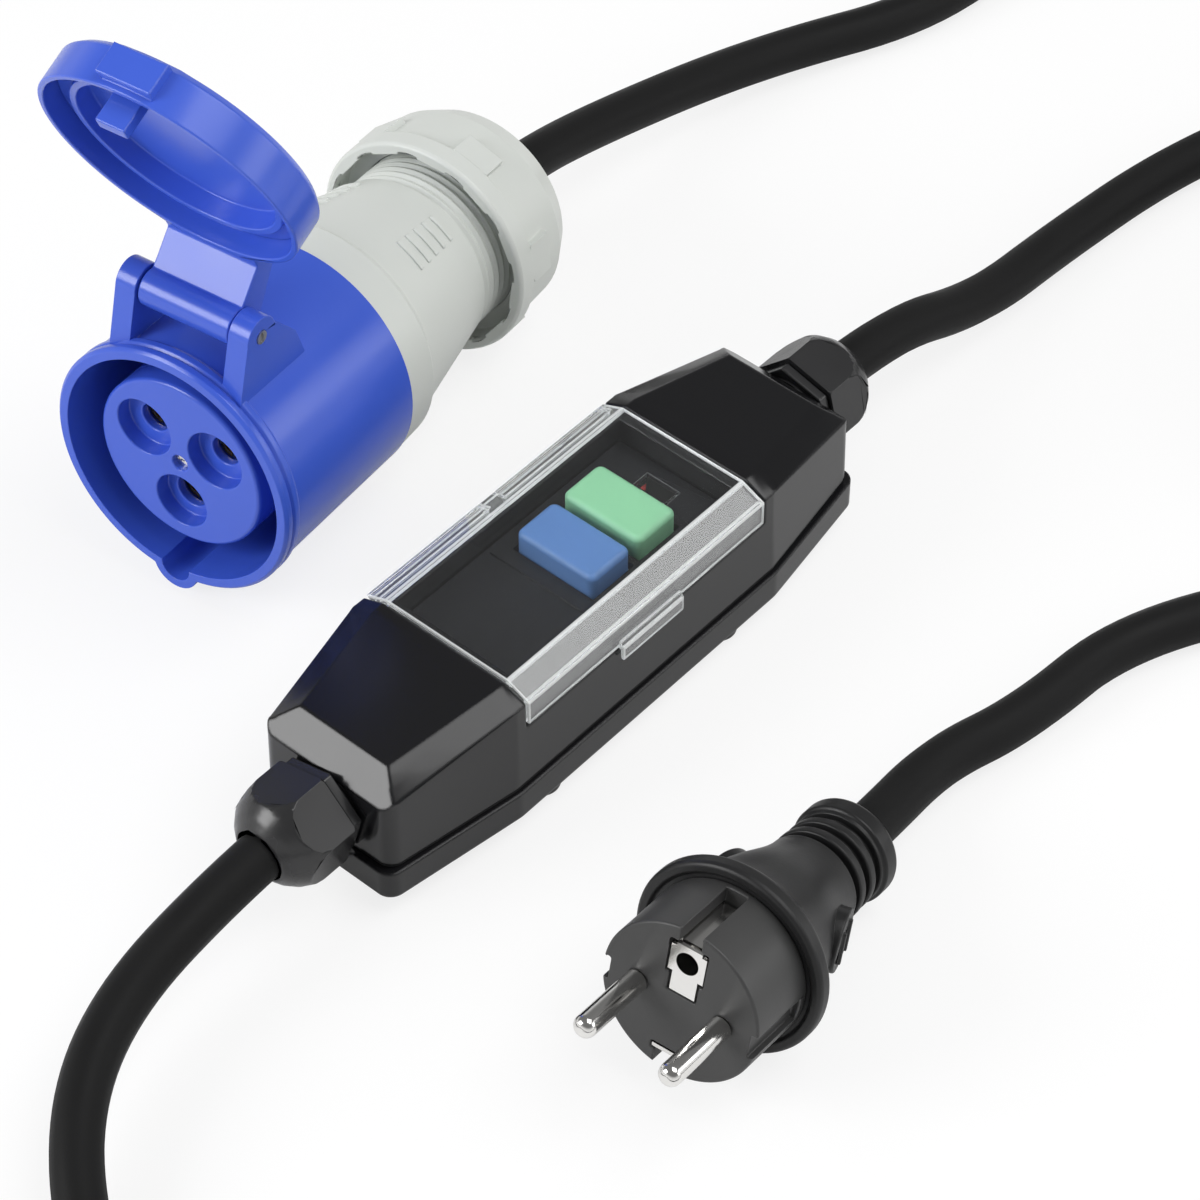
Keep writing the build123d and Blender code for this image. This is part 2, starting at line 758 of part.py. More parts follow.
with BuildPart() as socket_insert:
    round_bar(socket_face, insert_radius, insert_front, insert_back)
    chamfer(socket_insert.edges().sort_by(socket_axis)[0], 0.6)
    for name, hole, recess in (("live", 3.3, 6.8), ("neutral", 3.3, 6.8), ("earth", 3.8, 6.4)):
        spot = [contact_spot(name)]
        round_bar(socket_face, recess, insert_front - 1, insert_front + 3.8, spot, Mode.SUBTRACT)
        round_bar(socket_face, hole, insert_front, insert_back + 1, spot, Mode.SUBTRACT)
    round_bar(socket_face, 1.9, insert_front - 1, insert_front + 3, mode=Mode.SUBTRACT)
save(socket_insert, "socket_insert")

# Block behind the insert that carries the contact sleeves

with BuildPart() as contact_block:
    round_bar(socket_face, insert_radius, insert_back, shroud_length + 4)
    for name, bore in (("live", 4.1), ("neutral", 4.1), ("earth", 4.7)):
        round_bar(socket_face, bore, insert_back - 1, shroud_length + 6, [contact_spot(name)], Mode.SUBTRACT)
save(contact_block, "contact_block")

with BuildPart() as insert_screw:
    round_bar(socket_face, 1.8, insert_front + 1.2, insert_front + 3)
    with Locations(socket_face.offset(insert_front + 1.2).location):
        Box(2.8, 0.5, 1.0, mode=Mode.SUBTRACT)
save(insert_screw, "insert_screw")

sleeve_front = 9.4
sleeve_back = 52.0
sleeve_screw_back = 48.5


def make_sleeve(name, bore):
    """A slit contact sleeve with a solid clamping end for its conductor."""
    spot = [contact_spot(name)]
    with BuildPart() as sleeve:
        round_bar(socket_face, bore + 1.0, sleeve_front, sleeve_back, spot)
        round_bar(socket_face, bore, sleeve_front - 1, 38.0, spot, Mode.SUBTRACT)
        with Locations(socket_face.offset(sleeve_front + 9.0).location * Location((*spot[0], 0))):
            Box(0.6, 2 * bore + 3, 20.0, mode=Mode.SUBTRACT)
        with Locations(socket_face.offset(sleeve_back).location * Location((*spot[0], 0))):
            Cylinder(1.6, 16.0, mode=Mode.SUBTRACT)
    save(sleeve, f"{name}_sleeve")


make_sleeve("live", live_bore)
make_sleeve("neutral", live_bore)
make_sleeve("earth", earth_bore)

# Lid, modelled shut over the mouth and then swung open about its pin

arm_profile = [
    (-10.5, 20.0),
    (-10.5, 29.2),
    (3.5, 40.9),
    (8.4, 41.5),
    (13.0, 37.0),
    (6.6, 34.0),
    (-0.7, 30.2),
    (-0.7, 27.0),
    (-8.0, 27.0),
    (-8.0, 20.0),
]
hook_up = -24.7

with BuildPart() as shut_lid:
    with BuildSketch(socket_section.offset(-lid_barrel_half)):
        Polygon(*arm_profile, align=None)
        with Locations((lid_hinge_back, lid_hinge_up)):
            Circle(lid_barrel_radius)
    extrude(amount=2 * lid_barrel_half)
    with Locations(socket_face.offset(-5.6).location * Location((0, -lid_radius - 0.2, 0))):
        Box(13.0, 2.6, 7.0)
    round_bar(socket_face, 28.2, -8.3, 12.0, mode=Mode.SUBTRACT)
    with BuildSketch(socket_section):
        Polygon(
            (lid_back, 0),
            (lid_back, lid_radius - 1.5),
            (lid_back + 1.5, lid_radius),
            (lid_front, lid_radius),
            (lid_front, 28.2),
            (-8.0, 28.2),
            (-8.0, 24.4),
            (-3.6, 24.4),
            (-3.6, 22.6),
            (-8.3, 22.6),
            (-8.3, 0),
            align=None,
        )
    revolve(axis=socket_axis)
    hook_spot = socket_face.offset(-1.7).location * Location((0, hook_up, 0))
    with Locations(hook_spot):
        Box(7.0, 3.0, 13.4)
    round_bar(socket_section, lid_pin_radius + 0.05, -20, 20, [(lid_hinge_back, lid_hinge_up)], Mode.SUBTRACT)

with BuildPart() as shut_seal:
    round_bar(socket_face, 28.0, -7.9, -5.4)
    round_bar(socket_face, 24.6, -9, -4, mode=Mode.SUBTRACT)
    with Locations(hook_spot):
        Box(7.8, 12.0, 20.0, mode=Mode.SUBTRACT)

hinge_point = socket_section.from_local_coords((lid_hinge_back, lid_hinge_up, 0))
lid_hinge_axis = Axis(origin=hinge_point, direction=socket_face.x_dir)

with BuildPart() as socket_lid:
    add(shut_lid.part.rotate(lid_hinge_axis, lid_open_angle))
save(socket_lid, "socket_lid")

with BuildPart() as lid_seal:
    add(shut_seal.part.rotate(lid_hinge_axis, lid_open_angle))
save(lid_seal, "lid_seal")

with BuildPart() as lid_pin:
    round_bar(socket_section, lid_pin_radius, -16.9, 16.9, [(lid_hinge_back, lid_hinge_up)])
    with Locations(socket_section.offset(16.9).location * Location((lid_hinge_back, lid_hinge_up, 0))):
        Box(0.7, 2.4, 1.0, mode=Mode.SUBTRACT)
save(lid_pin, "lid_pin")

# Grey rear body with grip bars, and the nut that clamps the cord

body_end = 100.0
taper_start = 56.5
taper_end = 84.5
taper_wide = 26.6
taper_narrow = 21.0
taper_slope = (taper_wide - taper_narrow) / (taper_end - taper_start)
thread_root = 20.0
thread_crest = 20.6
thread = [
    (85.5 + 2.0 * k + along, radius)
    for k in range(6)
    for along, radius in ((0, thread_root), (1.0, thread_crest))
]
bar_count = 5
bar_pitch = 3.4
bar_arc = 18.0

with BuildPart() as connector_body:
    with BuildSketch(socket_section):
        Polygon(
            (shroud_length, 0),
            (shroud_length, shroud_radius - 0.4),
            (taper_start - 2.0, shroud_radius - 0.8),
            (taper_start, taper_wide),
            (taper_end, taper_narrow),
            (taper_end, thread_root),
            *thread,
            (body_end, thread_crest),
            (body_end, 0),
            align=None,
        )
    revolve(axis=socket_axis)
    with BuildSketch(socket_section):
        Polygon(
            (40, 0),
            (40, 26.2),
            (taper_start - 2.0, 25.6),
            (taper_start, taper_wide - 2.4),
            (taper_end - 2.0, taper_narrow - 2.0),
            (taper_end, 17.8),
            (96.0, 17.6),
            (96.0, 0),
            align=None,
        )
    revolve(axis=socket_axis, mode=Mode.SUBTRACT)
    # Five short bars on each side, one behind the other, each running round the body
    for turn in (34.0, -34.0):
        for k in range(bar_count):
            back = 73.0 + (k - 2) * bar_pitch
            bar_base = taper_wide - taper_slope * (back - taper_start)
            with BuildSketch(Plane(socket_section.location * Rotation(turn - bar_arc / 2, 0, 0))):
                with Locations((back, bar_base)):
                    Rectangle(1.1, 1.1)
            revolve(axis=socket_axis, revolution_arc=bar_arc)
    round_bar(socket_face, 6.2, 90, 110, mode=Mode.SUBTRACT)
save(connector_body, "connector_body")

tooth_count = 12
pad_count = 6

with BuildPart() as connector_nut:
    with BuildSketch(socket_section):
        Polygon(
            (collar_nut_front, 0),
            (collar_nut_front, 26.0),
            (collar_nut_front + 0.8, 26.6),
            (collar_nut_front + 5.0, 26.6),
            (collar_nut_front + 5.8, 25.4),
            (108.0, 24.9),
            (collar_nut_back, 21.7),
            (collar_nut_back, 0),
            align=None,
        )
    revolve(axis=socket_axis)
    with BuildSketch(socket_face.offset(collar_nut_front + 5.0)):
        with PolarLocations(25.2, pad_count, start_angle=50.0):
            Rectangle(2.4, 9.2)
    extrude(amount=6.6)
    round_bar(socket_face, thread_crest + 0.05, 80, 106.0, mode=Mode.SUBTRACT)
    round_bar(socket_face, 24.4, collar_nut_front - 1, collar_nut_front + 6.0, mode=Mode.SUBTRACT)
    with BuildSketch(socket_face.offset(collar_nut_front)):
        with PolarLocations(24.3, tooth_count, start_angle=5.0):
            Rectangle(1.4, 7.6)
    extrude(amount=1.6)
    round_bar(socket_face, cord_hole_radius, 100, 120, mode=Mode.SUBTRACT)
save(connector_nut, "connector_nut")

cord_in_socket = 103.0

with BuildPart() as cord_clamp:
    with BuildSketch(socket_section):
        Polygon((100.4, 0), (100.4, 14.0), (102.6, 14.0), (102.6, 0), align=None)
    revolve(axis=socket_axis)
    round_bar(socket_face, 4.4, 90, 110, mode=Mode.SUBTRACT)
save(cord_clamp, "cord_clamp")

with BuildPart() as socket_wires:
    for name in contact_angles:
        x, y = contact_spot(name)
        local = [(x, y, 46.0), (x, y, 60.0), (x * 0.28, y * 0.28, 78.0), (x * 0.28, y * 0.28, 102.4)]
        add(wire([socket_face.from_local_coords(point) for point in local]))
save(socket_wires, "socket_wires")

# Plug: hard front with pins and earth contacts, and the moulded rubber grip behind it

core_back = 17.0
clip_half_width = 4.2
top_slot_half_width = 2.4
bottom_slot_half_width = 3.4
side_notch = 5.2

with BuildPart() as plug_core:
    round_bar(plug_face, plug_radius, 0, core_back)
    fillet(plug_core.edges().sort_by(plug_axis)[0], 0.6)
    for side in (-1, 1):
        with Locations(plug_face.offset(7.0).location * Location((side * (plug_radius + 0.2), -1.0, 0))):
            Box(3.6, side_notch, 16.0, mode=Mode.SUBTRACT)
    for side, slot_half_width in ((1, top_slot_half_width), (-1, bottom_slot_half_width)):
        with Locations(plug_face.offset(7.5).location * Location((0, side * 12.95, 0))):
            Box(2 * clip_half_width + 0.4, 1.7, 16.4, mode=Mode.SUBTRACT)
        with Locations(plug_face.offset(7.5).location * Location((0, side * 16.0, 0))):
            Box(2 * slot_half_width, 5.2, 16.4, mode=Mode.SUBTRACT)
    with Locations(plug_face.offset(0.05).location * Location((0, 9.5, 0))):
        Box(8.6, 7.2, 2.2, mode=Mode.SUBTRACT)
    with Locations(plug_face.offset(0.05).location * Location((0, 7.6, 0))):
        Box(6.6, 12.0, 2.2, mode=Mode.SUBTRACT)
    round_bar(plug_face, 3.2, 0, core_back + 1, [(0, earth_hole_up - 0.5)], Mode.SUBTRACT)
    pin_spots = [(-pin_half_spacing, 0), (pin_half_spacing, 0)]
    round_bar(plug_face, pin_root_radius + 0.01, -1, core_back + 1, pin_spots, Mode.SUBTRACT)
save(plug_core, "plug_core")


def make_pin(x, name):
    """A round pin with a rounded tip and a root inside the plug."""
    with BuildPart() as pin:
        round_bar(plug_face, pin_radius, -pin_length, -pin_root_start, [(x, 0)])
        round_bar(plug_face, pin_root_radius, -pin_root_start, core_back, [(x, 0)])
        fillet(pin.edges().sort_by(plug_axis)[0], 1.9)
    save(pin, name)


make_pin(pin_half_spacing, "left_pin")
make_pin(-pin_half_spacing, "right_pin")

with BuildPart() as earth_socket:
    with Locations(plug_face.offset(0.7).location * Location((0, 9.5, 0))):
        Box(7.8, 6.2, 0.8)
    with Locations(plug_face.offset(0.7).location * Location((0, 7.6, 0))):
        Box(5.6, 11.4, 0.8)
    round_bar(plug_face, 3.1, 0.3, core_back - 0.2, [(0, earth_hole_up - 0.5)])
    round_bar(plug_face, pin_radius + 0.05, -1, core_back - 1.5, [(0, earth_hole_up - 0.5)], Mode.SUBTRACT)
save(earth_socket, "earth_socket")

with BuildPart() as earth_clips:
    for side in (-1, 1):
        with BuildSketch(plug_section.offset(-clip_half_width)):
            near = side * 12.75
            far = side * 13.6
            start = 0.4 if side < 0 else 1.6
            Polygon((start, near), (start, far), (15.4, far), (15.4, near), align=None)
        extrude(amount=2 * clip_half_width)
save(earth_clips, "earth_clips")

neck_grooves = (47.5, 51.5, 55.5)
grip_core_radius = 14.6

with BuildPart() as plug_grip:
    with BuildSketch(plug_section):
        with BuildLine():
            Polyline(
                (core_back, 0),
                (core_back, 18.4),
                (plug_flange_back - 3.2, 18.8),
                (plug_flange_back - 3.2, plug_flange_radius - 0.6),
                (plug_flange_back - 2.4, plug_flange_radius),
                (plug_flange_back, plug_flange_radius),
                (plug_flange_back + 1.6, plug_flange_radius - 1.4),
                (23.5, 17.0),
            )
            Spline((23.5, 17.0), (33.0, 14.2), (45.4, 10.6), tangents=[(1, -0.45), (1, -0.12)])
            Line((45.4, 10.6), (57.2, 10.2))
            Polyline(
                (57.2, 10.2),
                (57.6, 11.0),
                (61.2, 11.0),
                (plug_length, 10.2),
                (plug_length, 0),
                (core_back, 0),
            )
        make_face()
    revolve(axis=plug_axis)
    for groove in neck_grooves:
        round_bar(plug_face, 12.0, groove - 0.9, groove + 0.9, mode=Mode.SUBTRACT)
        round_bar(plug_face, 8.6, groove - 1.0, groove + 1.0)
    for side in (-1, 1):
        pad_place = plug_face.offset(36.0).location * Location((side * 12.6, 0, 0), (0, side * 74.0, 0))
        with Locations(pad_place):
            Cylinder(6.6, 3.0)
        for ridge in (-2.2, 2.2):
            with Locations(pad_place * Location((ridge, 0, 1.6))):
                Box(1.0, 8.0, 1.0)
    round_bar(plug_face, cord_hole_radius - 0.25, 46.0, 70.0, mode=Mode.SUBTRACT)
save(plug_grip, "plug_grip")

# Cords

shortest_run_share = 0.45


def corner_radii(points):
    """One radius for each corner of a route, as large as its two runs allow."""
    spots = [Vector(*p) for p in points]
    radii = []
    for before, corner, after in zip(spots, spots[1:], spots[2:]):
        turn = (corner - before).get_angle(after - corner)
        shorter = min((corner - before).length, (after - corner).length)
        radii.append(shortest_run_share * shorter / tan(radians(turn / 2)))
    return radii


def make_cord(points, name):
    """A cord's free stretch: straight runs joined by tangent arcs."""
    radii = corner_radii(points)
    with BuildPart() as cord:
        with BuildLine() as route:
            FilletPolyline(*points, radius=radii)
        path = route.wires()[0]
        with BuildSketch(Plane(origin=path @ 0, z_dir=path % 0)):
            Circle(cord_radius)
        sweep(path=path)
    expected = pi * cord_radius**2 * path.length
    print(f"{name}: {path.length:.0f} mm, volume {cord.part.volume / expected:.4f} of section x length")
    print("   radii", " ".join(f"{r:.0f}" for r in radii))
    save(cord, name)
    return path.length


plug_cord_end = plug_face.from_local_coords((0, 0, 46.0))
plug_cord_exit = plug_face.from_local_coords((0, 0, plug_length + 8.0))
plug_cord_points = [
    (-seal_end, 0, gland_height),
    (-97.8, 0, gland_height),
    (-131.2, -1.0, 15.6),
    (-154.5, -12.9, 12.0),
    (-172.2, -35.6, lying_height),
    (-185.7, -61.7, lying_height),
    (-185.4, -96.0, lying_height),
    (-162.5, -131.7, lying_height),
    (-130.0, -159.0, lying_height),
    (-86.0, -186.0, lying_height),
    (-38.0, -204.0, lying_height),
    (10.0, -212.0, lying_height),
    (50.0, -214.0, lying_height),
    (89.9, -210.7, lying_height),
    (114.6, -195.0, lying_height),
    (130.9, -166.6, lying_height),
    (130.4, -133.9, lying_height),
    (113.9, -106.5, lying_height),
    (78.9, -85.2, lying_height),
    (46.4, -83.1, lying_height),
    (25.2, -77.1, 6.3),
    tuple(plug_cord_exit),
    tuple(plug_cord_end),
]

coil_centre = (211.5, -110.5)
coil_outer = 60.0
coil_pitch = 13.4
coil_layer = 11.1
upper_height = lying_height + coil_layer
coil_start_y = coil_centre[1] + 2 * cord_radius

socket_cord_points = [
    (seal_end, 0, gland_height),
    (105.4, 0, gland_height),
    (135.0, -3.6, 10.1),
    (168.0, -2.4, 5.6),
    (204.2, -5.9, lying_height),
    (235.0, -14.9, lying_height),
    (259.0, -36.9, lying_height),
    (coil_centre[0] + coil_outer, -67.2, lying_height),
    (coil_centre[0] + coil_outer, coil_start_y, lying_height),
]


def make_coil(name):
    """Two layers of half turns: in along the floor, up in the turn where the spiral reverses, and out."""
    x, y = coil_centre
    steps = [(0, 1, 0), (1, -1, 0), (2, 1, 0), (2, -1, 1), (1, 1, 1), (0, -1, 1)]
    spots = [
        Vector(x + side * (coil_outer - inward * coil_pitch / 2), y, lying_height + layer * coil_layer)
        for inward, side, layer in steps
    ]
    exit_radius = coil_outer + coil_pitch / 4
    last = Vector(x - coil_outer + exit_radius, y + exit_radius, upper_height)
    with BuildPart() as coil:
        with BuildLine() as turns:
            Line((spots[0].X, coil_start_y, lying_height), spots[0])
            for number, (start, end) in enumerate(zip(spots, spots[1:])):
                heading = Vector(0, -1 if number % 2 == 0 else 1, 0)
                half_width = (end - start).length / 2
                middle = (start + end) * 0.5 + heading * half_width
                ThreePointArc(start, middle, end)
            lean = exit_radius * (1 - cos(pi / 4))
            rise = exit_radius * sin(pi / 4)
            ThreePointArc(spots[-1], (spots[-1].X + lean, y + rise, upper_height), last)
            Line(last, (last.X + 2 * cord_radius, last.Y, upper_height))
        path = turns.wires()[0]
        with BuildSketch(Plane(origin=path @ 0, z_dir=path % 0)):
            Circle(cord_radius)
        sweep(path=path)
    print(f"{name}: {path.length:.0f} mm")
    samples = 600
    points = [path @ (k / samples) for k in range(samples + 1)]
    apart = int(samples * 4 * cord_radius / path.length)
    gap = min(
        (points[i] - points[j]).length
        for i in range(samples + 1)
        for j in range(i + apart, samples + 1)
    )
    print(f"   least gap to itself {gap - 2 * cord_radius:.2f} mm")
    expected = pi * cord_radius**2 * path.length
    print(f"   volume {coil.part.volume / expected:.4f} of section x length")
    save(coil, name)
    return tuple(last + Vector(2 * cord_radius, 0, 0)), path.length


plug_cord_length = make_cord(plug_cord_points, "plug_cord")
socket_cord_length = make_cord(socket_cord_points, "socket_cord_near_box")
coil_exit, coil_length = make_coil("socket_cord_coil")
socket_cord_length += coil_length

socket_cord_entry = socket_face.from_local_coords((0, 0, cord_in_socket))
socket_cord_outside = socket_face.from_local_coords((0, 0, collar_nut_back + 10.0))
last_cord_points = [
    coil_exit,
    (253.8, coil_exit[1], upper_height),
    (284.7, -34.3, 15.6),
    (304.1, -7.1, 11.4),
    (306.0, 26.2, 7.4),
    (289.8, 55.6, lying_height),
    (260.1, 72.2, lying_height),
    (217.6, 70.1, lying_height),
    (170.9, 91.1, 7.3),
    (114.9, 95.9, 18.6),
    tuple(socket_cord_outside),
    tuple(socket_cord_entry),
]
socket_cord_length += make_cord(last_cord_points, "socket_cord_near_socket")
print(f"plug cord {plug_cord_length:.0f} mm, socket cord {socket_cord_length:.0f} mm")
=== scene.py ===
from math import cos, hypot, pi, radians, sin

import bmesh
import bpy
from mathutils import Matrix, Vector
from mathutils.bvhtree import BVHTree
from mathutils.kdtree import KDTree


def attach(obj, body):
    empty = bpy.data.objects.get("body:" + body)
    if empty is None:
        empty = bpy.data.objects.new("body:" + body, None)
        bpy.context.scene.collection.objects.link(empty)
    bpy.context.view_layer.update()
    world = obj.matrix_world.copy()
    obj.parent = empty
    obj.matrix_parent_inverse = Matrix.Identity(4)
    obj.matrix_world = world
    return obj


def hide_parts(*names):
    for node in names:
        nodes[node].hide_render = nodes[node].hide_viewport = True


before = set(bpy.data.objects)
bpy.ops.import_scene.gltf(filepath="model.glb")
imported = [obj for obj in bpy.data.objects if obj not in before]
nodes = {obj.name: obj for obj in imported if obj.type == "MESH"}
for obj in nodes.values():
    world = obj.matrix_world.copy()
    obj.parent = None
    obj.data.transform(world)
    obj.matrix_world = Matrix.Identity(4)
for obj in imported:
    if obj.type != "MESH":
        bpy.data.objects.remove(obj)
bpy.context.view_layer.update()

bl_info = {
    "name": "Adapter cable with residual current device",
    "version": (1, 0, 0),
    "blender": (4, 5, 0),
    "location": "View3D > Sidebar > Adapter",
    "description": "Builds the dressed pieces of an adapter cable over its packed solids",
    "category": "Object",
}

MM = 0.001


# Places of the two ends of the cable, as their solids lie


def face_place(origin, heading, tilt):
    """The place of a connector's face: X to its left, Y up and Z back along its axis."""
    turn = radians(heading)
    drop = radians(tilt)
    back = Vector((cos(turn) * cos(drop), sin(turn) * cos(drop), -sin(drop)))
    left = Vector((-sin(turn), cos(turn), 0))
    up = back.cross(left)
    place = Matrix((left, up, back)).transposed().to_4x4()
    place.translation = Vector(origin) * MM
    return place


SOCKET = face_place((-36.8, 76.55, 34.95), heading=7.88, tilt=4.2)
PLUG = face_place((-66.3, -86.0, 24.8), heading=5.8, tilt=13.1)


class AdapterSettings(bpy.types.PropertyGroup):
    """Sizes and colours that a user would change."""

    cord_diameter: bpy.props.FloatProperty(
        name="Cord diameter",
        description="Outer diameter of both rubber cords",
        default=0.0105,
        unit="LENGTH",
    )
    edge_softness: bpy.props.FloatProperty(
        name="Edge softness",
        description="How wide the roundings along moulded edges are, 1 being as built",
        default=1.0,
        min=0.1,
        max=1.2,
    )
    box_colour: bpy.props.FloatVectorProperty(
        name="Box",
        description="Gloss black of the box's shells",
        default=(0.009, 0.009, 0.010),
        subtype="COLOR",
    )
    rubber_colour: bpy.props.FloatVectorProperty(
        name="Rubber",
        description="Near black of the cords",
        default=(0.012, 0.012, 0.0122),
        subtype="COLOR",
    )
    blue_colour: bpy.props.FloatVectorProperty(
        name="Socket blue",
        description="Blue of the socket's shroud, insert and lid",
        default=(0.048, 0.110, 0.60),
        subtype="COLOR",
    )
    grey_colour: bpy.props.FloatVectorProperty(
        name="Socket grey",
        description="Pale green-grey of the socket's rear body and nut",
        default=(0.64, 0.665, 0.63),
        subtype="COLOR",
    )
    test_colour: bpy.props.FloatVectorProperty(
        name="Test button",
        description="Blue of the test button",
        default=(0.085, 0.185, 0.42),
        subtype="COLOR",
    )
    reset_colour: bpy.props.FloatVectorProperty(
        name="Reset button",
        description="Green of the reset button",
        default=(0.24, 0.52, 0.31),
        subtype="COLOR",
    )
    lamp_strength: bpy.props.FloatProperty(
        name="Lamp strength",
        description="Brightness of the soft lamps",
        default=1.0,
        min=0.0,
    )


def settings():
    """The scene's settings, as the panel shows them."""
    return bpy.context.scene.adapter_settings


# Materials


def feed(tree, node, inputs):
    """Sets a node's inputs, each to a value or from another node's output."""
    for name, value in inputs.items():
        if isinstance(value, bpy.types.NodeSocket):
            tree.links.new(value, node.inputs[name])
        else:
            node.inputs[name].default_value = value


def add_node(tree, kind, inputs, **options):
    """Adds a node with its options and inputs set."""
    node = tree.nodes.new(kind)
    for option, value in options.items():
        setattr(node, option, value)
    feed(tree, node, inputs)
    return node


def blank_material(name):
    """A material with only its shader and output."""
    material = bpy.data.materials.new(name)
    material.use_nodes = True
    tree = material.node_tree
    return material, tree, tree.nodes["Principled BSDF"]


def mix_shaders(tree, share, lower, upper):
    """Shows the upper shader's output in the given share, and the lower one in the rest."""
    mix = add_node(tree, "ShaderNodeMixShader", {"Fac": share, 1: lower, 2: upper})
    return mix.outputs["Shader"]


def ray_share(tree, *rays):
    """An output that is 1 for rays of the named kinds, and 0 for all others."""
    path = tree.nodes.new("ShaderNodeLightPath")
    share = path.outputs[rays[0]]
    for ray in rays[1:]:
        inputs = {0: share, 1: path.outputs[ray]}
        share = add_node(tree, "ShaderNodeMath", inputs, operation="MAXIMUM").outputs["Value"]
    return share


# Grain: the noise's scale for each kind of surface and that of the patches of gloss and tint,
# and its depth in metres where a finish gives none

PLASTIC_GRAIN = 900.0
RUBBER_GRAIN = 1500.0
METAL_GRAIN = 700.0
POLISH_GRAIN = 25.0
EDGE_GRAIN = 300.0
PATCH_SCALE = 60.0
PLASTIC_DEPTH = 0.00002
RUBBER_DEPTH = 0.00006
METAL_DEPTH = 0.00001
POLISH_DEPTH = 0.000001
EDGE_DEPTH = 0.00002
GRAIN_STRENGTH = 0.35
BEVEL_SAMPLES = 6


def add_grain(tree, shader, scale, depth, roughness, spread, rounding=0.0):
    """Fine moulded grain in the surface's height and a slight spread in its roughness.

    A rounding shades sharp edges as if they had that radius. Gives the patches' output, by
    which a colour may vary too.
    """
    place = tree.nodes.new("ShaderNodeTexCoord").outputs["Object"]
    grain = add_node(
        tree, "ShaderNodeTexNoise", {"Scale": scale, "Detail": 4.0, "Vector": place}
    )
    bump = add_node(
        tree,
        "ShaderNodeBump",
        {"Strength": GRAIN_STRENGTH, "Distance": depth, "Height": grain.outputs["Fac"]},
    )
    if rounding:
        edges = add_node(tree, "ShaderNodeBevel", {"Radius": rounding}, samples=BEVEL_SAMPLES)
        feed(tree, bump, {"Normal": edges.outputs["Normal"]})
    patches = add_node(
        tree, "ShaderNodeTexNoise", {"Scale": PATCH_SCALE, "Detail": 6.0, "Vector": place}
    )
    ramp = add_node(
        tree,
        "ShaderNodeMapRange",
        {
            "Value": patches.outputs["Fac"],
            "From Min": 0.3,
            "From Max": 0.7,
            "To Min": roughness - spread,
            "To Max": roughness + spread,
        },
    )
    feed(
        tree,
        shader,
        {"Normal": bump.outputs["Normal"], "Roughness": ramp.outputs["Result"]},
    )
    return patches.outputs["Fac"]


def tint(tree, shader, patches, colour, change):
    """Varies a colour a little over the patches, as moulded plastic and rubber do."""
    darker = (*[c * (1 - change) for c in colour], 1)
    lighter = (*[min(1.0, c * (1 + change)) for c in colour], 1)
    mix = add_node(
        tree, "ShaderNodeMix", {"A": darker, "B": lighter, "Factor": patches}, data_type="RGBA"
    )
    feed(tree, shader, {"Base Color": mix.outputs["Result"]})


def moulded_plastic(
    name,
    colour,
    roughness,
    depth=PLASTIC_DEPTH,
    spread=0.03,
    change=0.05,
    rounding=0.0,
    shine=0.5,
):
    """Moulded plastic, from glossy to satin."""
    material, tree, shader = blank_material(name)
    feed(tree, shader, {"Specular IOR Level": shine, "IOR": 1.49})
    patches = add_grain(tree, shader, PLASTIC_GRAIN, depth, roughness, spread, rounding)
    tint(tree, shader, patches, colour, change)
    return material


def soft_rubber(name, colour, roughness, shine=0.35):
    """Matte rubber with a little sheen and a fine dusty grain."""
    material, tree, shader = blank_material(name)
    gloss = {
        "IOR": 1.5,
        "Specular IOR Level": shine,
        "Sheen Weight": 0.02,
        "Sheen Roughness": 0.5,
    }
    feed(tree, shader, gloss)
    patches = add_grain(tree, shader, RUBBER_GRAIN, RUBBER_DEPTH, roughness, spread=0.07)
    tint(tree, shader, patches, colour, change=0.14)
    return material


def plated_metal(name, colour, roughness):
    """Drawn or plated metal with faint drawing marks."""
    material, tree, shader = blank_material(name)
    feed(tree, shader, {"Metallic": 1.0})
    patches = add_grain(tree, shader, METAL_GRAIN, METAL_DEPTH, roughness, spread=0.05)
    tint(tree, shader, patches, colour, change=0.04)
    return material


# Painted reflection on clear plastic, a whitish share that stands in for glancing reflections:
# how sharply it rises where the surface is seen aslant, and how far

PAINTED_REFLECTION_POWER = 5.0
PAINTED_REFLECTION_GAIN = 2.0


def clear_plastic(name):
    """Polished clear polycarbonate with a painted reflection, a whitish share that grows where
    it is seen aslant; lamps shine through it.
    """
    material, tree, shader = blank_material(name)
    polish = {
        "Base Color": (0.97, 0.985, 0.985, 1),
        "IOR": 1.5,
        "Specular IOR Level": 0.1,
        "Transmission Weight": 1.0,
    }
    feed(tree, shader, polish)
    add_grain(tree, shader, POLISH_GRAIN, POLISH_DEPTH, roughness=0.035, spread=0.01)
    slant = add_node(tree, "ShaderNodeLayerWeight", {"Blend": 0.5}).outputs["Facing"]
    rise = add_node(tree, "ShaderNodeMath", {0: slant, 1: PAINTED_REFLECTION_POWER}, operation="POWER")
    share = add_node(
        tree,
        "ShaderNodeMath",
        {0: rise.outputs["Value"], 1: PAINTED_REFLECTION_GAIN},
        operation="MULTIPLY",
        use_clamp=True,
    )
    # Painted reflection: a whitish matte share, mixed in where the surface is seen aslant,
    # stands in for glancing reflections
    painted_reflection = add_node(tree, "ShaderNodeBsdfDiffuse", {"Color": (0.85, 0.86, 0.87, 1)})
    with_painted_reflection = mix_shaders(
        tree, share.outputs["Value"], shader.outputs["BSDF"], painted_reflection.outputs["BSDF"]
    )
    through = add_node(tree, "ShaderNodeBsdfTransparent", {"Color": (0.93, 0.95, 0.95, 1)})
    shown = mix_shaders(tree, ray_share(tree, "Is Shadow Ray"), with_painted_reflection, through.outputs["BSDF"])
    feed(tree, tree.nodes["Material Output"], {"Surface": shown})
    return material


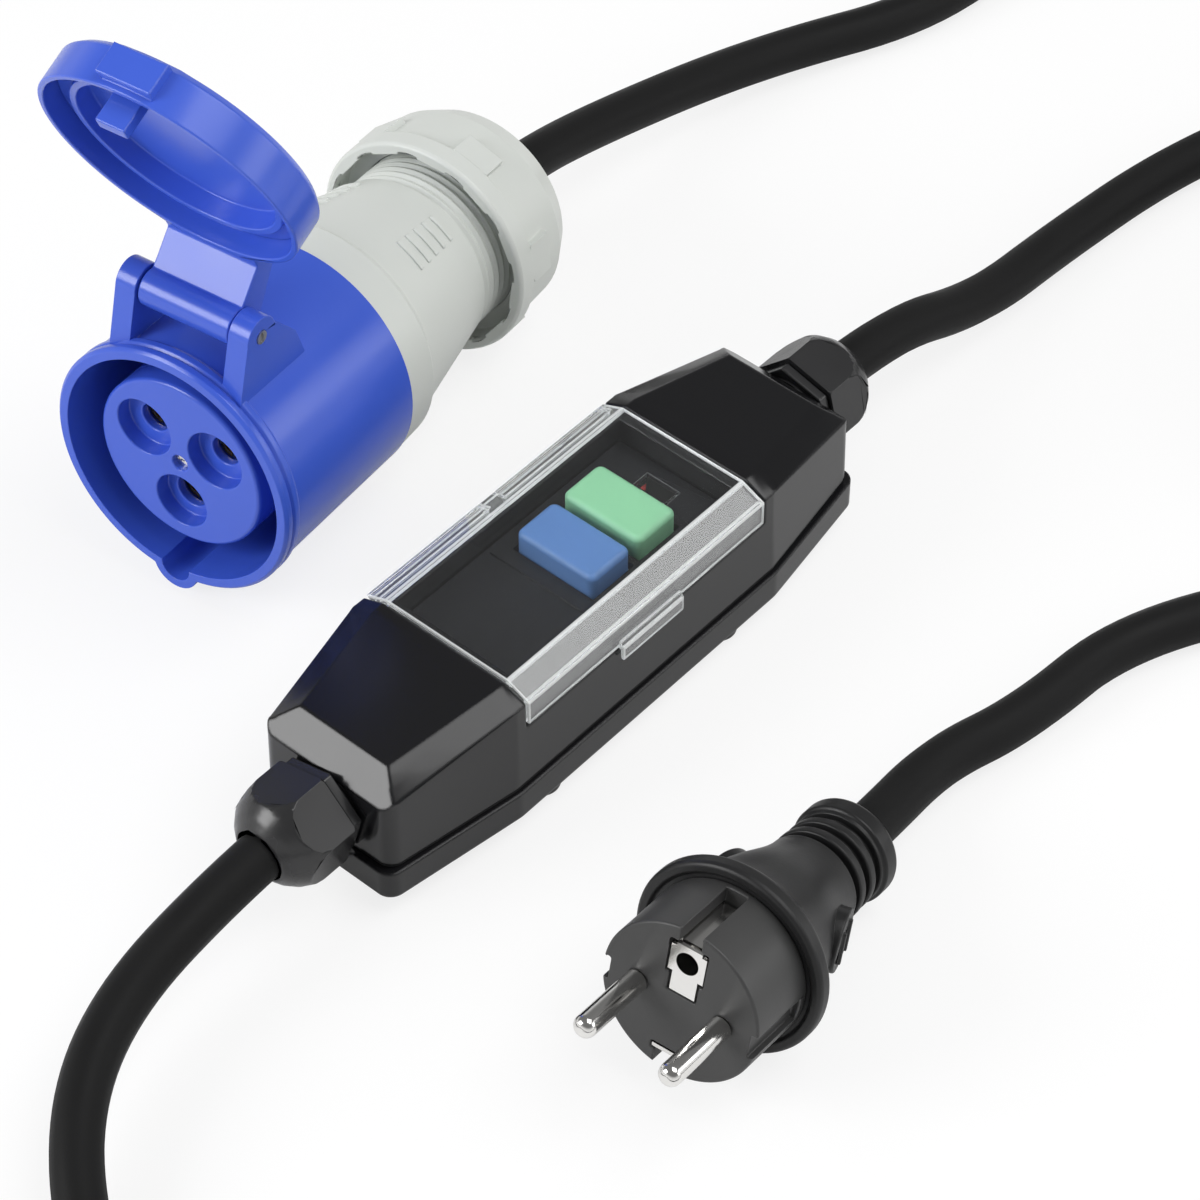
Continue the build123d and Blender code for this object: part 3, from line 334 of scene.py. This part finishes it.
def painted_edge_highlight_plastic(name):
    """A painted highlight along the rounded edges of clear plastic: a whitish, half clear
    plastic in place of the light that they catch.
    """
    material, tree, shader = blank_material(name)
    white = {"Base Color": (0.90, 0.92, 0.92, 1), "IOR": 1.5, "Transmission Weight": 0.45}
    feed(tree, shader, white)
    add_grain(tree, shader, EDGE_GRAIN, EDGE_DEPTH, roughness=0.22, spread=0.05)
    return material


# Each finish: what makes it, and from what. A colour given by name is one of the settings.

FINISHES = {
    "gloss_black": (
        moulded_plastic,
        {
            "colour": "box_colour",
            "roughness": 0.17,
            "depth": 0.000004,
            "spread": 0.02,
            "rounding": 0.0009,
            "shine": 0.42,
        },
    ),
    "satin_black": (
        moulded_plastic,
        {"colour": (0.022, 0.022, 0.023), "roughness": 0.25, "depth": 0.00001},
    ),
    "panel_black": (moulded_plastic, {"colour": (0.008, 0.008, 0.010), "roughness": 0.38}),
    "plug_plastic": (
        moulded_plastic,
        {"colour": (0.042, 0.042, 0.042), "roughness": 0.42, "depth": 0.00004, "change": 0.1},
    ),
    "socket_blue": (moulded_plastic, {"colour": "blue_colour", "roughness": 0.24}),
    "socket_grey": (
        moulded_plastic,
        {"colour": "grey_colour", "roughness": 0.36, "depth": 0.00003, "change": 0.02},
    ),
    "test_blue": (
        moulded_plastic,
        {"colour": "test_colour", "roughness": 0.45, "depth": 0.00004},
    ),
    "reset_green": (
        moulded_plastic,
        {"colour": "reset_colour", "roughness": 0.45, "depth": 0.00004},
    ),
    "board_green": (moulded_plastic, {"colour": (0.02, 0.16, 0.07), "roughness": 0.4}),
    "inner_plastic": (moulded_plastic, {"colour": (0.62, 0.60, 0.54), "roughness": 0.45}),
    "flag_red": (moulded_plastic, {"colour": (0.55, 0.03, 0.02), "roughness": 0.4}),
    "cord_rubber": (
        soft_rubber,
        {"colour": "rubber_colour", "roughness": 0.52, "shine": 0.09},
    ),
    "plug_rubber": (soft_rubber, {"colour": (0.013, 0.013, 0.0135), "roughness": 0.40}),
    "seal_rubber": (soft_rubber, {"colour": (0.02, 0.02, 0.02), "roughness": 0.6}),
    "wire_brown": (soft_rubber, {"colour": (0.20, 0.09, 0.035), "roughness": 0.4}),
    "wire_earth": (soft_rubber, {"colour": (0.24, 0.42, 0.05), "roughness": 0.4}),
    "nickel": (plated_metal, {"colour": (0.80, 0.79, 0.77), "roughness": 0.14}),
    "brass": (plated_metal, {"colour": (0.78, 0.58, 0.26), "roughness": 0.25}),
    "steel": (plated_metal, {"colour": (0.60, 0.60, 0.61), "roughness": 0.30}),
    "clear_cover": (clear_plastic, {}),
    # Painted highlight along the clear cover's rounded edges
    "clear_edge": (painted_edge_highlight_plastic, {}),
}


def finish_named(finish):
    """Gives each finish once, made when it is first asked for."""
    name = f"{finish}_finish"
    made = bpy.data.materials.get(name)
    if made:
        return made
    maker, values = FINISHES[finish]
    colour = values.get("colour")
    if isinstance(colour, str):
        values = {**values, "colour": getattr(settings(), colour)}
    return maker(name, **values)


# Pieces


def dress(finish, *names):
    """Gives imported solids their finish."""
    material = finish_named(finish)
    for name in names:
        shown = nodes[name]
        if not shown.material_slots:
            shown.data.materials.append(material)
        for place in shown.material_slots:
            place.material = material


def add_object(name, data):
    """Adds an object to the scene."""
    made = bpy.data.objects.new(name, data)
    bpy.context.scene.collection.objects.link(made)
    return made


def add_piece(name, data, body, finish, slot, *stands_for):
    """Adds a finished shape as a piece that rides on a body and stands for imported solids."""
    data.materials.append(finish_named(finish))
    piece = add_object(name, data)
    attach(piece, body)
    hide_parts(*stands_for)
    return piece


# Flats: metres between corners that are one, and the length of an edge that goes; the cosine
# between faces of one flat, and the bend that still counts as straight

SAME_SPOT = 0.000004
TOO_SHORT = 0.000002
SAME_PLANE = 0.99999
STRAIGHT = radians(0.3)

# Roundings: the room in metres where nothing lies beside an edge, the share of a gap that a
# rounding may take, and the cosine below which an edge runs on from another

OPEN_ROOM = 1.0
ROOM_SHARE = 0.45
RUNS_ON = -0.9

# Strays: in rounding widths, how far off the shape a corner is one, and how far round it edges
# are sharpened at first; a width more is taken in each further round

STRAY_GAP = 0.5
SHARPEN_REACH = 1.2
SHARPEN_ROUNDS = 6

# Shading: a narrow face is this many rounding widths wide at most, and faces blend where the
# cosine between them is above these

NARROW_WIDTH = 1.2
NARROW_BLEND = 0.82
WIDE_BLEND = 0.95


def without_hole(faces):
    """Whether a connected group of faces covers one plain patch."""
    edges = {edge for face in faces for edge in face.edges}
    verts = {vert for face in faces for vert in face.verts}
    return len(verts) - len(edges) + len(faces) == 1


def grow_group(left, joins):
    """Takes a group of faces out of those left, from the first on, over edges that join them."""
    start = next(iter(left))
    del left[start]
    group = [start]
    for face in group:
        for edge in face.edges:
            for other in edge.link_faces:
                if other in left and joins(start, other):
                    del left[other]
                    group.append(other)
    return group


def grouped(faces, joins):
    """Splits faces into groups that touch along edges and that the given test joins."""
    left = dict.fromkeys(faces)
    groups = []
    while left:
        groups.append(grow_group(left, joins))
    return groups


def in_one_plane(start, other):
    """Whether two faces face the same way."""
    return other.normal.dot(start.normal) > SAME_PLANE


def any_faces(start, other):
    """Joins all faces that touch."""
    return True


def join_flat_faces(shape):
    """Joins each flat's triangles into a few large faces, none of which runs round a hole."""
    shape.normal_update()
    queue = grouped(shape.faces, in_one_plane)
    inner_edges = {}
    while queue:
        region = queue.pop()
        if len(region) < 2:
            continue
        if without_hole(region):
            seen = set()
            for face in region:
                inner_edges.update((edge, None) for edge in face.edges if edge in seen)
                seen.update(face.edges)
            continue
        centres = [face.calc_center_median() for face in region]
        spans = [max(c[k] for c in centres) - min(c[k] for c in centres) for k in range(3)]
        across = spans.index(max(spans))
        middle = sorted(c[across] for c in centres)[len(centres) // 2]
        lower = [face for face, c in zip(region, centres) if c[across] < middle]
        upper = [face for face, c in zip(region, centres) if c[across] >= middle]
        if lower and upper:
            queue.extend(grouped(lower, any_faces))
            queue.extend(grouped(upper, any_faces))
    bmesh.ops.dissolve_edges(
        shape, edges=list(inner_edges), use_verts=False, use_face_split=False
    )
    bmesh.ops.dissolve_limit(shape, angle_limit=STRAIGHT, verts=shape.verts, edges=[])


# The socket's turned walls, in millimetres: each runs straight from a distance behind its face
# and a radius to another distance and radius. A spot on one may lie a little past its ends and
# off its skin.

SHROUD_WALLS = ((5.2, 29.0, 46.0, 28.8),)
BODY_WALLS = ((46.0, 28.6, 54.5, 28.2), (56.5, 26.6, 84.5, 21.0))
NUT_WALLS = ((91.2, 26.6, 95.4, 26.6), (96.2, 25.4, 108.0, 24.9), (108.0, 24.9, 114.0, 21.7))
WALL_END = 0.1
WALL_SKIN = 0.12
WALL_FACING = 0.95


def on_wall(spot, facing, place, walls):
    """The direction square to the turned wall that a spot lies on, or None off every wall."""
    local = place.inverted() @ spot / MM
    radius = hypot(local.x, local.y)
    for back, wide, far_back, far_wide in walls:
        if not back - WALL_END <= local.z <= far_back + WALL_END:
            continue
        slope = (far_wide - wide) / (far_back - back)
        if abs(radius - wide - slope * (local.z - back)) > WALL_SKIN:
            continue
        square = Vector((local.x / radius, local.y / radius, -slope)).normalized()
        square = place.to_3x3() @ square
        if square.dot(facing) > WALL_FACING:
            return square
    return None


def narrow_faces(mesh, wide):
    """Tells for each face whether it is one of the narrow ones that a rounding is made of."""
    narrow = []
    for face in mesh.polygons:
        corners = [mesh.vertices[index].co for index in face.vertices]
        longest = max((a - b).length for a, b in zip(corners, corners[1:] + corners[:1]))
        narrow.append(face.area < NARROW_WIDTH * wide * longest)
    return narrow


def settle_shading(mesh, wide, place, walls):
    """Keeps flats flat and blends roundings.

    A corner is shaded by the faces round it that nearly share its direction, weighed by their
    size, and on a turned wall square to the axis, where long triangles would leave streaks.
    The narrow faces of a rounding blend over a larger turn than wide faces do.
    """
    narrow = narrow_faces(mesh, wide)
    sizes = [face.area for face in mesh.polygons]
    facings = [face.normal.copy() for face in mesh.polygons]
    around = [[] for vert in mesh.vertices]
    for face in mesh.polygons:
        for vert in face.vertices:
            around[vert].append(face.index)
    shading = [Vector((0, 0, 1))] * len(mesh.loops)
    for face in mesh.polygons:
        facing = facings[face.index]
        for corner in face.loop_indices:
            vert = mesh.loops[corner].vertex_index
            total = Vector()
            for other in around[vert]:
                rounded = narrow[other] or narrow[face.index]
                if facings[other].dot(facing) > (NARROW_BLEND if rounded else WIDE_BLEND):
                    total += facings[other] * sizes[other]
            shaded = total.normalized() if total.length > 0 else facing
            if walls:
                shaded = on_wall(mesh.vertices[vert].co, facing, place, walls) or shaded
            shading[corner] = shaded
    mesh.normals_split_custom_set(shading)


def room_for_rounding(edge):
    """How wide a rounding may be along an edge before it runs into the edges beside it."""
    room = OPEN_ROOM
    for vert in edge.verts:
        along = (edge.other_vert(vert).co - vert.co).normalized()
        for other in vert.link_edges:
            out = other.other_vert(vert).co - vert.co
            forward = out.dot(along)
            if other is edge or forward < RUNS_ON * out.length:
                continue
            room = min(room, ROOM_SHARE * (out - along * forward).length)
    return room


def sharpen_near(mesh, rounded, wide, reach):
    """Leaves edges sharp where a rounding ran off the shape, and tells whether any did."""
    corners = [vert.co for vert in mesh.vertices]
    surface = BVHTree.FromPolygons(corners, [list(face.vertices) for face in mesh.polygons])
    strays = {
        vert.index
        for vert in rounded.vertices
        if surface.find_nearest(vert.co)[3] > STRAY_GAP * wide
    }
    if not strays:
        return False
    finder = KDTree(len(corners))
    for index, corner in enumerate(corners):
        finder.insert(corner, index)
    finder.balance()
    sources = set()
    for edge in rounded.edges:
        ends = set(edge.vertices)
        if ends & strays:
            for end in ends - strays:
                close = finder.find_range(rounded.vertices[end].co, reach)
                sources.update(index for corner, index, gap in close)
    weights = mesh.attributes["bevel_weight_edge"].data
    for edge in mesh.edges:
        if sources & set(edge.vertices):
            weights[edge.index].value = 0.0
    return True


def softened(
    node,
    body,
    finish,
    slot,
    width,
    segments=3,
    angle=30.0,
    edge_finish=None,
    place=None,
    walls=(),
):
    """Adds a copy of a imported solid, merged, with its moulded edges rounded.

    Edges that turn by more than the angle, in degrees, are rounded, and the roundings may have
    a finish of their own. Turned walls are shaded square to the axis of the given place.
    """
    shape = bmesh.new()
    shape.from_mesh(nodes[node].data)
    bmesh.ops.remove_doubles(shape, verts=shape.verts, dist=SAME_SPOT)
    bmesh.ops.dissolve_degenerate(shape, dist=TOO_SHORT, edges=shape.edges)
    join_flat_faces(shape)
    for face in shape.faces:
        face.smooth = True
    wide = width * settings().edge_softness
    weight = shape.edges.layers.float.new("bevel_weight_edge")
    for edge in shape.edges:
        if len(edge.link_faces) == 2 and edge.calc_face_angle() > radians(angle):
            edge[weight] = min(1.0, room_for_rounding(edge) / wide)
    name = f"{node}_moulding"
    mesh = bpy.data.meshes.new(name)
    shape.to_mesh(mesh)
    shape.free()
    piece = add_piece(name, mesh, body, finish, slot, node)
    rounding = piece.modifiers.new("Rounded edges", "BEVEL")
    rounding.width = wide
    rounding.segments = segments
    rounding.limit_method = "WEIGHT"
    rounding.use_clamp_overlap = False
    rounding.miter_outer = "MITER_ARC"
    if edge_finish:
        mesh.materials.append(finish_named(edge_finish))
        rounding.material = 1
    for attempt in range(SHARPEN_ROUNDS):
        graph = bpy.context.evaluated_depsgraph_get()
        rounded = bpy.data.meshes.new_from_object(piece.evaluated_get(graph))
        if not sharpen_near(mesh, rounded, wide, (attempt + SHARPEN_REACH) * wide):
            break
        mesh.update_tag()
    piece.modifiers.clear()
    piece.data = rounded
    settle_shading(rounded, wide, place, walls)


# Cords: the same points as their solids follow, in millimetres

GLAND = 21.0
LYING = 5.3
LAYER = 11.1
UPPER = LYING + LAYER

PLUG_CORD_POINTS = [
    (-80.0, 0, GLAND),
    (-97.8, 0, GLAND),
    (-131.2, -1.0, 15.6),
    (-154.5, -12.9, 12.0),
    (-172.2, -35.6, LYING),
    (-185.7, -61.7, LYING),
    (-185.4, -96.0, LYING),
    (-162.5, -131.7, LYING),
    (-130.0, -159.0, LYING),
    (-86.0, -186.0, LYING),
    (-38.0, -204.0, LYING),
    (10.0, -212.0, LYING),
    (50.0, -214.0, LYING),
    (89.9, -210.7, LYING),
    (114.6, -195.0, LYING),
    (130.9, -166.6, LYING),
    (130.4, -133.9, LYING),
    (113.9, -106.5, LYING),
    (78.9, -85.2, LYING),
    (46.4, -83.1, LYING),
    (25.2, -77.1, 6.3),
]

SOCKET_CORD_START = [
    (80.0, 0, GLAND),
    (105.4, 0, GLAND),
    (135.0, -3.6, 10.1),
    (168.0, -2.4, 5.6),
    (204.2, -5.9, LYING),
    (235.0, -14.9, LYING),
    (259.0, -36.9, LYING),
    (271.5, -67.2, LYING),
    (271.5, -92.0, LYING),
]

SOCKET_CORD_END = [
    (253.8, -47.15, UPPER),
    (284.7, -34.3, 15.6),
    (304.1, -7.1, 11.4),
    (306.0, 26.2, 7.4),
    (289.8, 55.6, LYING),
    (260.1, 72.2, LYING),
    (217.6, 70.1, LYING),
    (170.9, 91.1, 7.3),
    (114.9, 95.9, 18.6),
]

# How far behind a connector's face its cord leaves it, and its end lies, in millimetres

PLUG_CORD_LEAVES = 70.0
PLUG_CORD_ENDS = 46.0
SOCKET_CORD_LEAVES = 124.0
SOCKET_CORD_ENDS = 103.0

# The coil, in millimetres. A spline cuts inside its points, so they lie a little farther out.

COIL_CENTRE = Vector((211.5, -110.5))
COIL_OUTER = 60.0
COIL_STEP = 6.7
COIL_TURNS = 2.75
COIL_POINTS_PER_TURN = 16
COIL_STRETCH = 1.009

# Half turns at which the coil is at its narrowest, has climbed, and is as wide as it began

COIL_NARROW = 2
COIL_CLIMBED = 3
COIL_WIDE = 5
COIL_EASE = 0.5


def behind(place, distance):
    """The spot on a connector's axis that lies so far behind its face."""
    return tuple(place @ Vector((0, 0, distance * MM)) / MM)


def coil_points():
    """The coil's points: in along the floor, up a layer, and out above.

    Past its first width it eases, and widens more slowly.
    """
    points = []
    for k in range(int(COIL_TURNS * COIL_POINTS_PER_TURN)):
        angle = (k + 0.5) * 2 * pi / COIL_POINTS_PER_TURN
        half_turns = angle / pi
        if half_turns < COIL_NARROW:
            inward = half_turns
            rise = 0.0
        elif half_turns < COIL_CLIMBED:
            inward = COIL_NARROW
            rise = (1 - cos((half_turns - COIL_NARROW) * pi)) / 2
        else:
            to_come = COIL_WIDE - half_turns
            inward = max(to_come, to_come * COIL_EASE)
            rise = 1.0
        radius = (COIL_OUTER - COIL_STEP * inward) * COIL_STRETCH
        x = COIL_CENTRE.x + radius * cos(angle)
        y = COIL_CENTRE.y - radius * sin(angle)
        points.append((x, y, LYING + LAYER * rise))
    return points


def cord_line(name, points, *stands_for):
    """A round cord along one smooth spline."""
    curve = bpy.data.curves.new(name, "CURVE")
    curve.dimensions = "3D"
    curve.bevel_depth = settings().cord_diameter / 2
    curve.bevel_resolution = 5
    curve.resolution_u = 10
    curve.use_fill_caps = True
    spline = curve.splines.new("NURBS")
    spline.points.add(len(points) - 1)
    for point, place in zip(spline.points, points):
        point.co = (*(Vector(place) * MM), 1)
    spline.use_endpoint_u = True
    spline.order_u = 3
    return add_piece(name, curve, "housing", "cord_rubber", "black_rubber", *stands_for)


# Stage: the camera as solved from the photograph, in metres, and the white floor. The floor
# glows in part to the camera and through clear plastic, so that it shows white there.

CAMERA_PLACE = (-0.412, -0.367, 0.618)
CAMERA_TURN = radians(49.0)
CAMERA_DROP = radians(47.3)
CAMERA_LENS = 118.86
FLOOR_SIZE = 4.0
FLOOR_GREY = 0.86
FLOOR_GLOW = 1.02
FLOOR_GLOW_SHARE = 0.78
SKY_STRENGTH = 0.42

# The backdrop is white low down, and fades between two heights, given as sines

FADE_FROM = 0.1
FADE_TO = 0.42
FADED_STRENGTH = 0.22

# Each lamp: its name, place, the spot that it points at, its size and its power

LAMPS = (
    ("key_lamp", (0.36, -0.46, 1.16), (0.02, 0.0, 0.0), (0.9, 0.8), 8.0),
    ("left_lamp", (-0.86, 0.52, 0.58), (-0.02, 0.05, 0.0), (0.55, 0.55), 8.0),
    ("right_lamp", (0.62, -0.90, 0.40), (0.0, -0.05, 0.0), (0.8, 0.4), 2.5),
)


def add_camera(scene):
    """Adds the camera, which looks along its turn and down by its drop."""
    lens = bpy.data.cameras.new("camera")
    lens.sensor_width = 36.0
    lens.lens = CAMERA_LENS
    lens.clip_start = 0.05
    lens.clip_end = 30.0
    camera = add_object("camera", lens)
    flat = cos(CAMERA_DROP)
    ahead = Vector((sin(CAMERA_TURN) * flat, cos(CAMERA_TURN) * flat, -sin(CAMERA_DROP)))
    right = Vector((cos(CAMERA_TURN), -sin(CAMERA_TURN), 0))
    upward = right.cross(ahead)
    stance = Matrix((right, upward, -ahead)).transposed().to_4x4()
    stance.translation = Vector(CAMERA_PLACE)
    camera.matrix_world = stance
    scene.camera = camera


def add_floor():
    """Adds the floor of white paper."""
    shape = bmesh.new()
    bmesh.ops.create_grid(shape, x_segments=1, y_segments=1, size=FLOOR_SIZE)
    mesh = bpy.data.meshes.new("floor")
    shape.to_mesh(mesh)
    shape.free()
    add_object("floor", mesh)
    paper, tree, shader = blank_material("floor_paper")
    matte = {
        "Base Color": (FLOOR_GREY, FLOOR_GREY, FLOOR_GREY, 1),
        "Roughness": 0.9,
        "Specular IOR Level": 0.0,
    }
    feed(tree, shader, matte)
    seen = ray_share(tree, "Is Camera Ray", "Is Transmission Ray")
    share = add_node(
        tree, "ShaderNodeMath", {0: seen, 1: FLOOR_GLOW_SHARE}, operation="MULTIPLY"
    )
    glow = add_node(tree, "ShaderNodeEmission", {"Strength": FLOOR_GLOW})
    shown = mix_shaders(
        tree, share.outputs["Value"], shader.outputs["BSDF"], glow.outputs["Emission"]
    )
    feed(tree, tree.nodes["Material Output"], {"Surface": shown})
    mesh.materials.append(paper)


def add_lamps():
    """Adds the soft lamps."""
    for name, place, aim, size, power in LAMPS:
        lamp = bpy.data.lights.new(name, "AREA")
        lamp.shape = "RECTANGLE"
        lamp.size, lamp.size_y = size
        lamp.energy = power * settings().lamp_strength
        holder = add_object(name, lamp)
        holder.location = place
        holder.rotation_euler = (Vector(aim) - Vector(place)).to_track_quat("-Z", "Y").to_euler()


def add_world(scene):
    """Adds an even sky that lights the scene, and the backdrop that is seen and mirrored."""
    world = bpy.data.worlds.new("studio")
    scene.world = world
    world.use_nodes = True
    tree = world.node_tree
    sky = tree.nodes["Background"]
    feed(tree, sky, {"Color": (1, 1, 1, 1), "Strength": SKY_STRENGTH})
    place = tree.nodes.new("ShaderNodeTexCoord").outputs["Generated"]
    height = add_node(tree, "ShaderNodeSeparateXYZ", {"Vector": place})
    fade = add_node(
        tree,
        "ShaderNodeMapRange",
        {
            "Value": height.outputs["Z"],
            "From Min": FADE_FROM,
            "From Max": FADE_TO,
            "To Min": 1.0,
            "To Max": FADED_STRENGTH,
        },
    )
    backdrop = add_node(tree, "ShaderNodeBackground", {"Strength": fade.outputs["Result"]})
    seen = ray_share(tree, "Is Camera Ray", "Is Transmission Ray", "Is Glossy Ray")
    shown = mix_shaders(
        tree, seen, sky.outputs["Background"], backdrop.outputs["Background"]
    )
    feed(tree, tree.nodes["World Output"], {"Surface": shown})


class ADAPTER_OT_stage(bpy.types.Operator):
    """Sets up the camera, the floor, the soft lamps and the world"""

    bl_idname = "adapter.stage"
    bl_label = "Stage"

    def execute(self, context):
        context.scene.view_settings.view_transform = "Standard"
        add_camera(context.scene)
        add_floor()
        add_lamps()
        add_world(context.scene)
        return {"FINISHED"}


class ADAPTER_OT_cords(bpy.types.Operator):
    """Lays both cords, with the put-away length in a coil"""

    bl_idname = "adapter.cords"
    bl_label = "Cords"

    def execute(self, context):
        plug_route = [
            *PLUG_CORD_POINTS,
            behind(PLUG, PLUG_CORD_LEAVES),
            behind(PLUG, PLUG_CORD_ENDS),
        ]
        plug_cord = cord_line("plug_cord_line", plug_route, "plug_cord")
        socket_route = [
            *SOCKET_CORD_START,
            *coil_points(),
            *SOCKET_CORD_END,
            behind(SOCKET, SOCKET_CORD_LEAVES),
            behind(SOCKET, SOCKET_CORD_ENDS),
        ]
        socket_cord = cord_line(
            "socket_cord_line",
            socket_route,
            "socket_cord_near_box",
            "socket_cord_coil",
            "socket_cord_near_socket",
        )
        return {"FINISHED"}


class ADAPTER_OT_box(bpy.types.Operator):
    """Dresses the box's shells, seal and screws"""

    bl_idname = "adapter.box"
    bl_label = "Box"

    def execute(self, context):
        for shell in ("top_shell", "base_shell"):
            softened(shell, "housing", "gloss_black", "black_gloss", width=0.0003)
        dress("seal_rubber", "shell_gasket")
        dress("steel", "case_screws")
        return {"FINISHED"}


class ADAPTER_OT_cover(bpy.types.Operator):
    """Makes the clear cover with a painted highlight along its rounded edges, and dresses its
    rod
    """

    bl_idname = "adapter.cover"
    bl_label = "Clear cover"

    def execute(self, context):
        softened(
            "clear_cover",
            "cover",
            "clear_cover",
            "clear_plastic",
            width=0.0004,
            segments=2,
            angle=20.0,
            # The roundings get the painted edge highlight
            edge_finish="clear_edge",
        )
        dress("steel", "cover_rod")
        return {"FINISHED"}


class ADAPTER_OT_panel(bpy.types.Operator):
    """Dresses the panel, its window and the flag behind it"""

    bl_idname = "adapter.panel"
    bl_label = "Front panel"

    def execute(self, context):
        softened(
            "face_panel", "housing", "panel_black", "black_panel", width=0.0002, segments=2
        )
        dress("clear_cover", "indicator_lens")
        dress("flag_red", "indicator_flag")
        return {"FINISHED"}


class ADAPTER_OT_buttons(bpy.types.Operator):
    """Dresses both buttons and their springs"""

    bl_idname = "adapter.buttons"
    bl_label = "Buttons"

    def execute(self, context):
        dress("test_blue", "test_button")
        dress("reset_green", "reset_button")
        dress("steel", "test_spring", "reset_spring")
        return {"FINISHED"}


class ADAPTER_OT_glands(bpy.types.Operator):
    """Makes both cord glands"""

    bl_idname = "adapter.glands"
    bl_label = "Glands"

    def execute(self, context):
        for end in ("near", "far"):
            softened(
                f"{end}_gland_body", "housing", "satin_black", "black_gloss", width=0.0004
            )
            softened(
                f"{end}_gland_nut",
                "housing",
                "satin_black",
                "black_gloss",
                width=0.0005,
                angle=20.0,
            )
            dress("seal_rubber", f"{end}_gland_seal")
        return {"FINISHED"}


class ADAPTER_OT_socket(bpy.types.Operator):
    """Makes the socket's shroud and insert, and dresses its contacts"""

    bl_idname = "adapter.socket"
    bl_label = "Socket front"

    def execute(self, context):
        softened(
            "socket_shroud",
            "housing",
            "socket_blue",
            "blue_plastic",
            width=0.0002,
            place=SOCKET,
            walls=SHROUD_WALLS,
        )
        softened("socket_insert", "housing", "socket_blue", "blue_plastic", width=0.0004)
        dress("socket_blue", "contact_block")
        dress("nickel", "insert_screw")
        dress("brass", "live_sleeve", "neutral_sleeve", "earth_sleeve")
        return {"FINISHED"}


class ADAPTER_OT_lid(bpy.types.Operator):
    """Makes the socket's lid, and dresses its seal and pin"""

    bl_idname = "adapter.lid"
    bl_label = "Socket lid"

    def execute(self, context):
        softened("socket_lid", "lid", "socket_blue", "blue_plastic", width=0.0004)
        dress("socket_blue", "lid_seal")
        dress("steel", "lid_pin")
        return {"FINISHED"}


class ADAPTER_OT_socket_rear(bpy.types.Operator):
    """Makes the socket's grey rear body and its nut"""

    bl_idname = "adapter.socket_rear"
    bl_label = "Socket rear"

    def execute(self, context):
        for node, width, walls in (
            ("connector_body", 0.0002, BODY_WALLS),
            ("connector_nut", 0.00035, NUT_WALLS),
        ):
            softened(
                node,
                "housing",
                "socket_grey",
                "grey_plastic",
                width=width,
                place=SOCKET,
                walls=walls,
            )
        dress("inner_plastic", "cord_clamp")
        dress("wire_brown", "socket_wires")
        return {"FINISHED"}


class ADAPTER_OT_plug(bpy.types.Operator):
    """Makes the plug's core and grip, and dresses its metal"""

    bl_idname = "adapter.plug"
    bl_label = "Plug"

    def execute(self, context):
        softened("plug_core", "housing", "plug_plastic", "black_panel", width=0.0004)
        softened("plug_grip", "housing", "plug_rubber", "black_rubber", width=0.0005)
        dress("nickel", "left_pin", "right_pin", "earth_socket", "earth_clips")
        return {"FINISHED"}


class ADAPTER_OT_inner_works(bpy.types.Operator):
    """Dresses the pieces that are hidden inside the box"""

    bl_idname = "adapter.inner_works"
    bl_label = "Inner works"

    def execute(self, context):
        dress("board_green", "circuit_board")
        dress(
            "inner_plastic",
            "button_guide",
            "contact_base",
            "contact_carrier",
            "sensing_ring",
            "inlet_terminals",
            "outlet_terminals",
            "trip_coil",
        )
        dress("brass", "fixed_contacts", "moving_contacts", "test_contact")
        dress("steel", "terminal_screws", "trip_plunger")
        dress("wire_brown", "lead_wires", "power_wires")
        dress("wire_earth", "earth_wire")
        return {"FINISHED"}


class ADAPTER_PT_panel(bpy.types.Panel):
    """Lists the settings and the steps that build the adapter cable"""

    bl_idname = "ADAPTER_PT_panel"
    bl_label = "Adapter cable"
    bl_space_type = "VIEW_3D"
    bl_region_type = "UI"
    bl_category = "Adapter"

    def draw(self, context):
        column = self.layout.column()
        for name in AdapterSettings.__annotations__:
            column.prop(context.scene.adapter_settings, name)
        for step in STEPS:
            column.operator(step.bl_idname)


STEPS = (
    ADAPTER_OT_stage,
    ADAPTER_OT_box,
    ADAPTER_OT_cover,
    ADAPTER_OT_panel,
    ADAPTER_OT_buttons,
    ADAPTER_OT_glands,
    ADAPTER_OT_socket,
    ADAPTER_OT_lid,
    ADAPTER_OT_socket_rear,
    ADAPTER_OT_plug,
    ADAPTER_OT_cords,
    ADAPTER_OT_inner_works,
)


def register():
    for kind in (AdapterSettings, *STEPS, ADAPTER_PT_panel):
        bpy.utils.register_class(kind)
    bpy.types.Scene.adapter_settings = bpy.props.PointerProperty(type=AdapterSettings)


def unregister():
    del bpy.types.Scene.adapter_settings
    for kind in (ADAPTER_PT_panel, *reversed(STEPS), AdapterSettings):
        bpy.utils.unregister_class(kind)


def main():
    register()
    for step in STEPS:
        group, name = step.bl_idname.split(".")
        getattr(getattr(bpy.ops, group), name)()


if __name__ == "__main__":
    main()
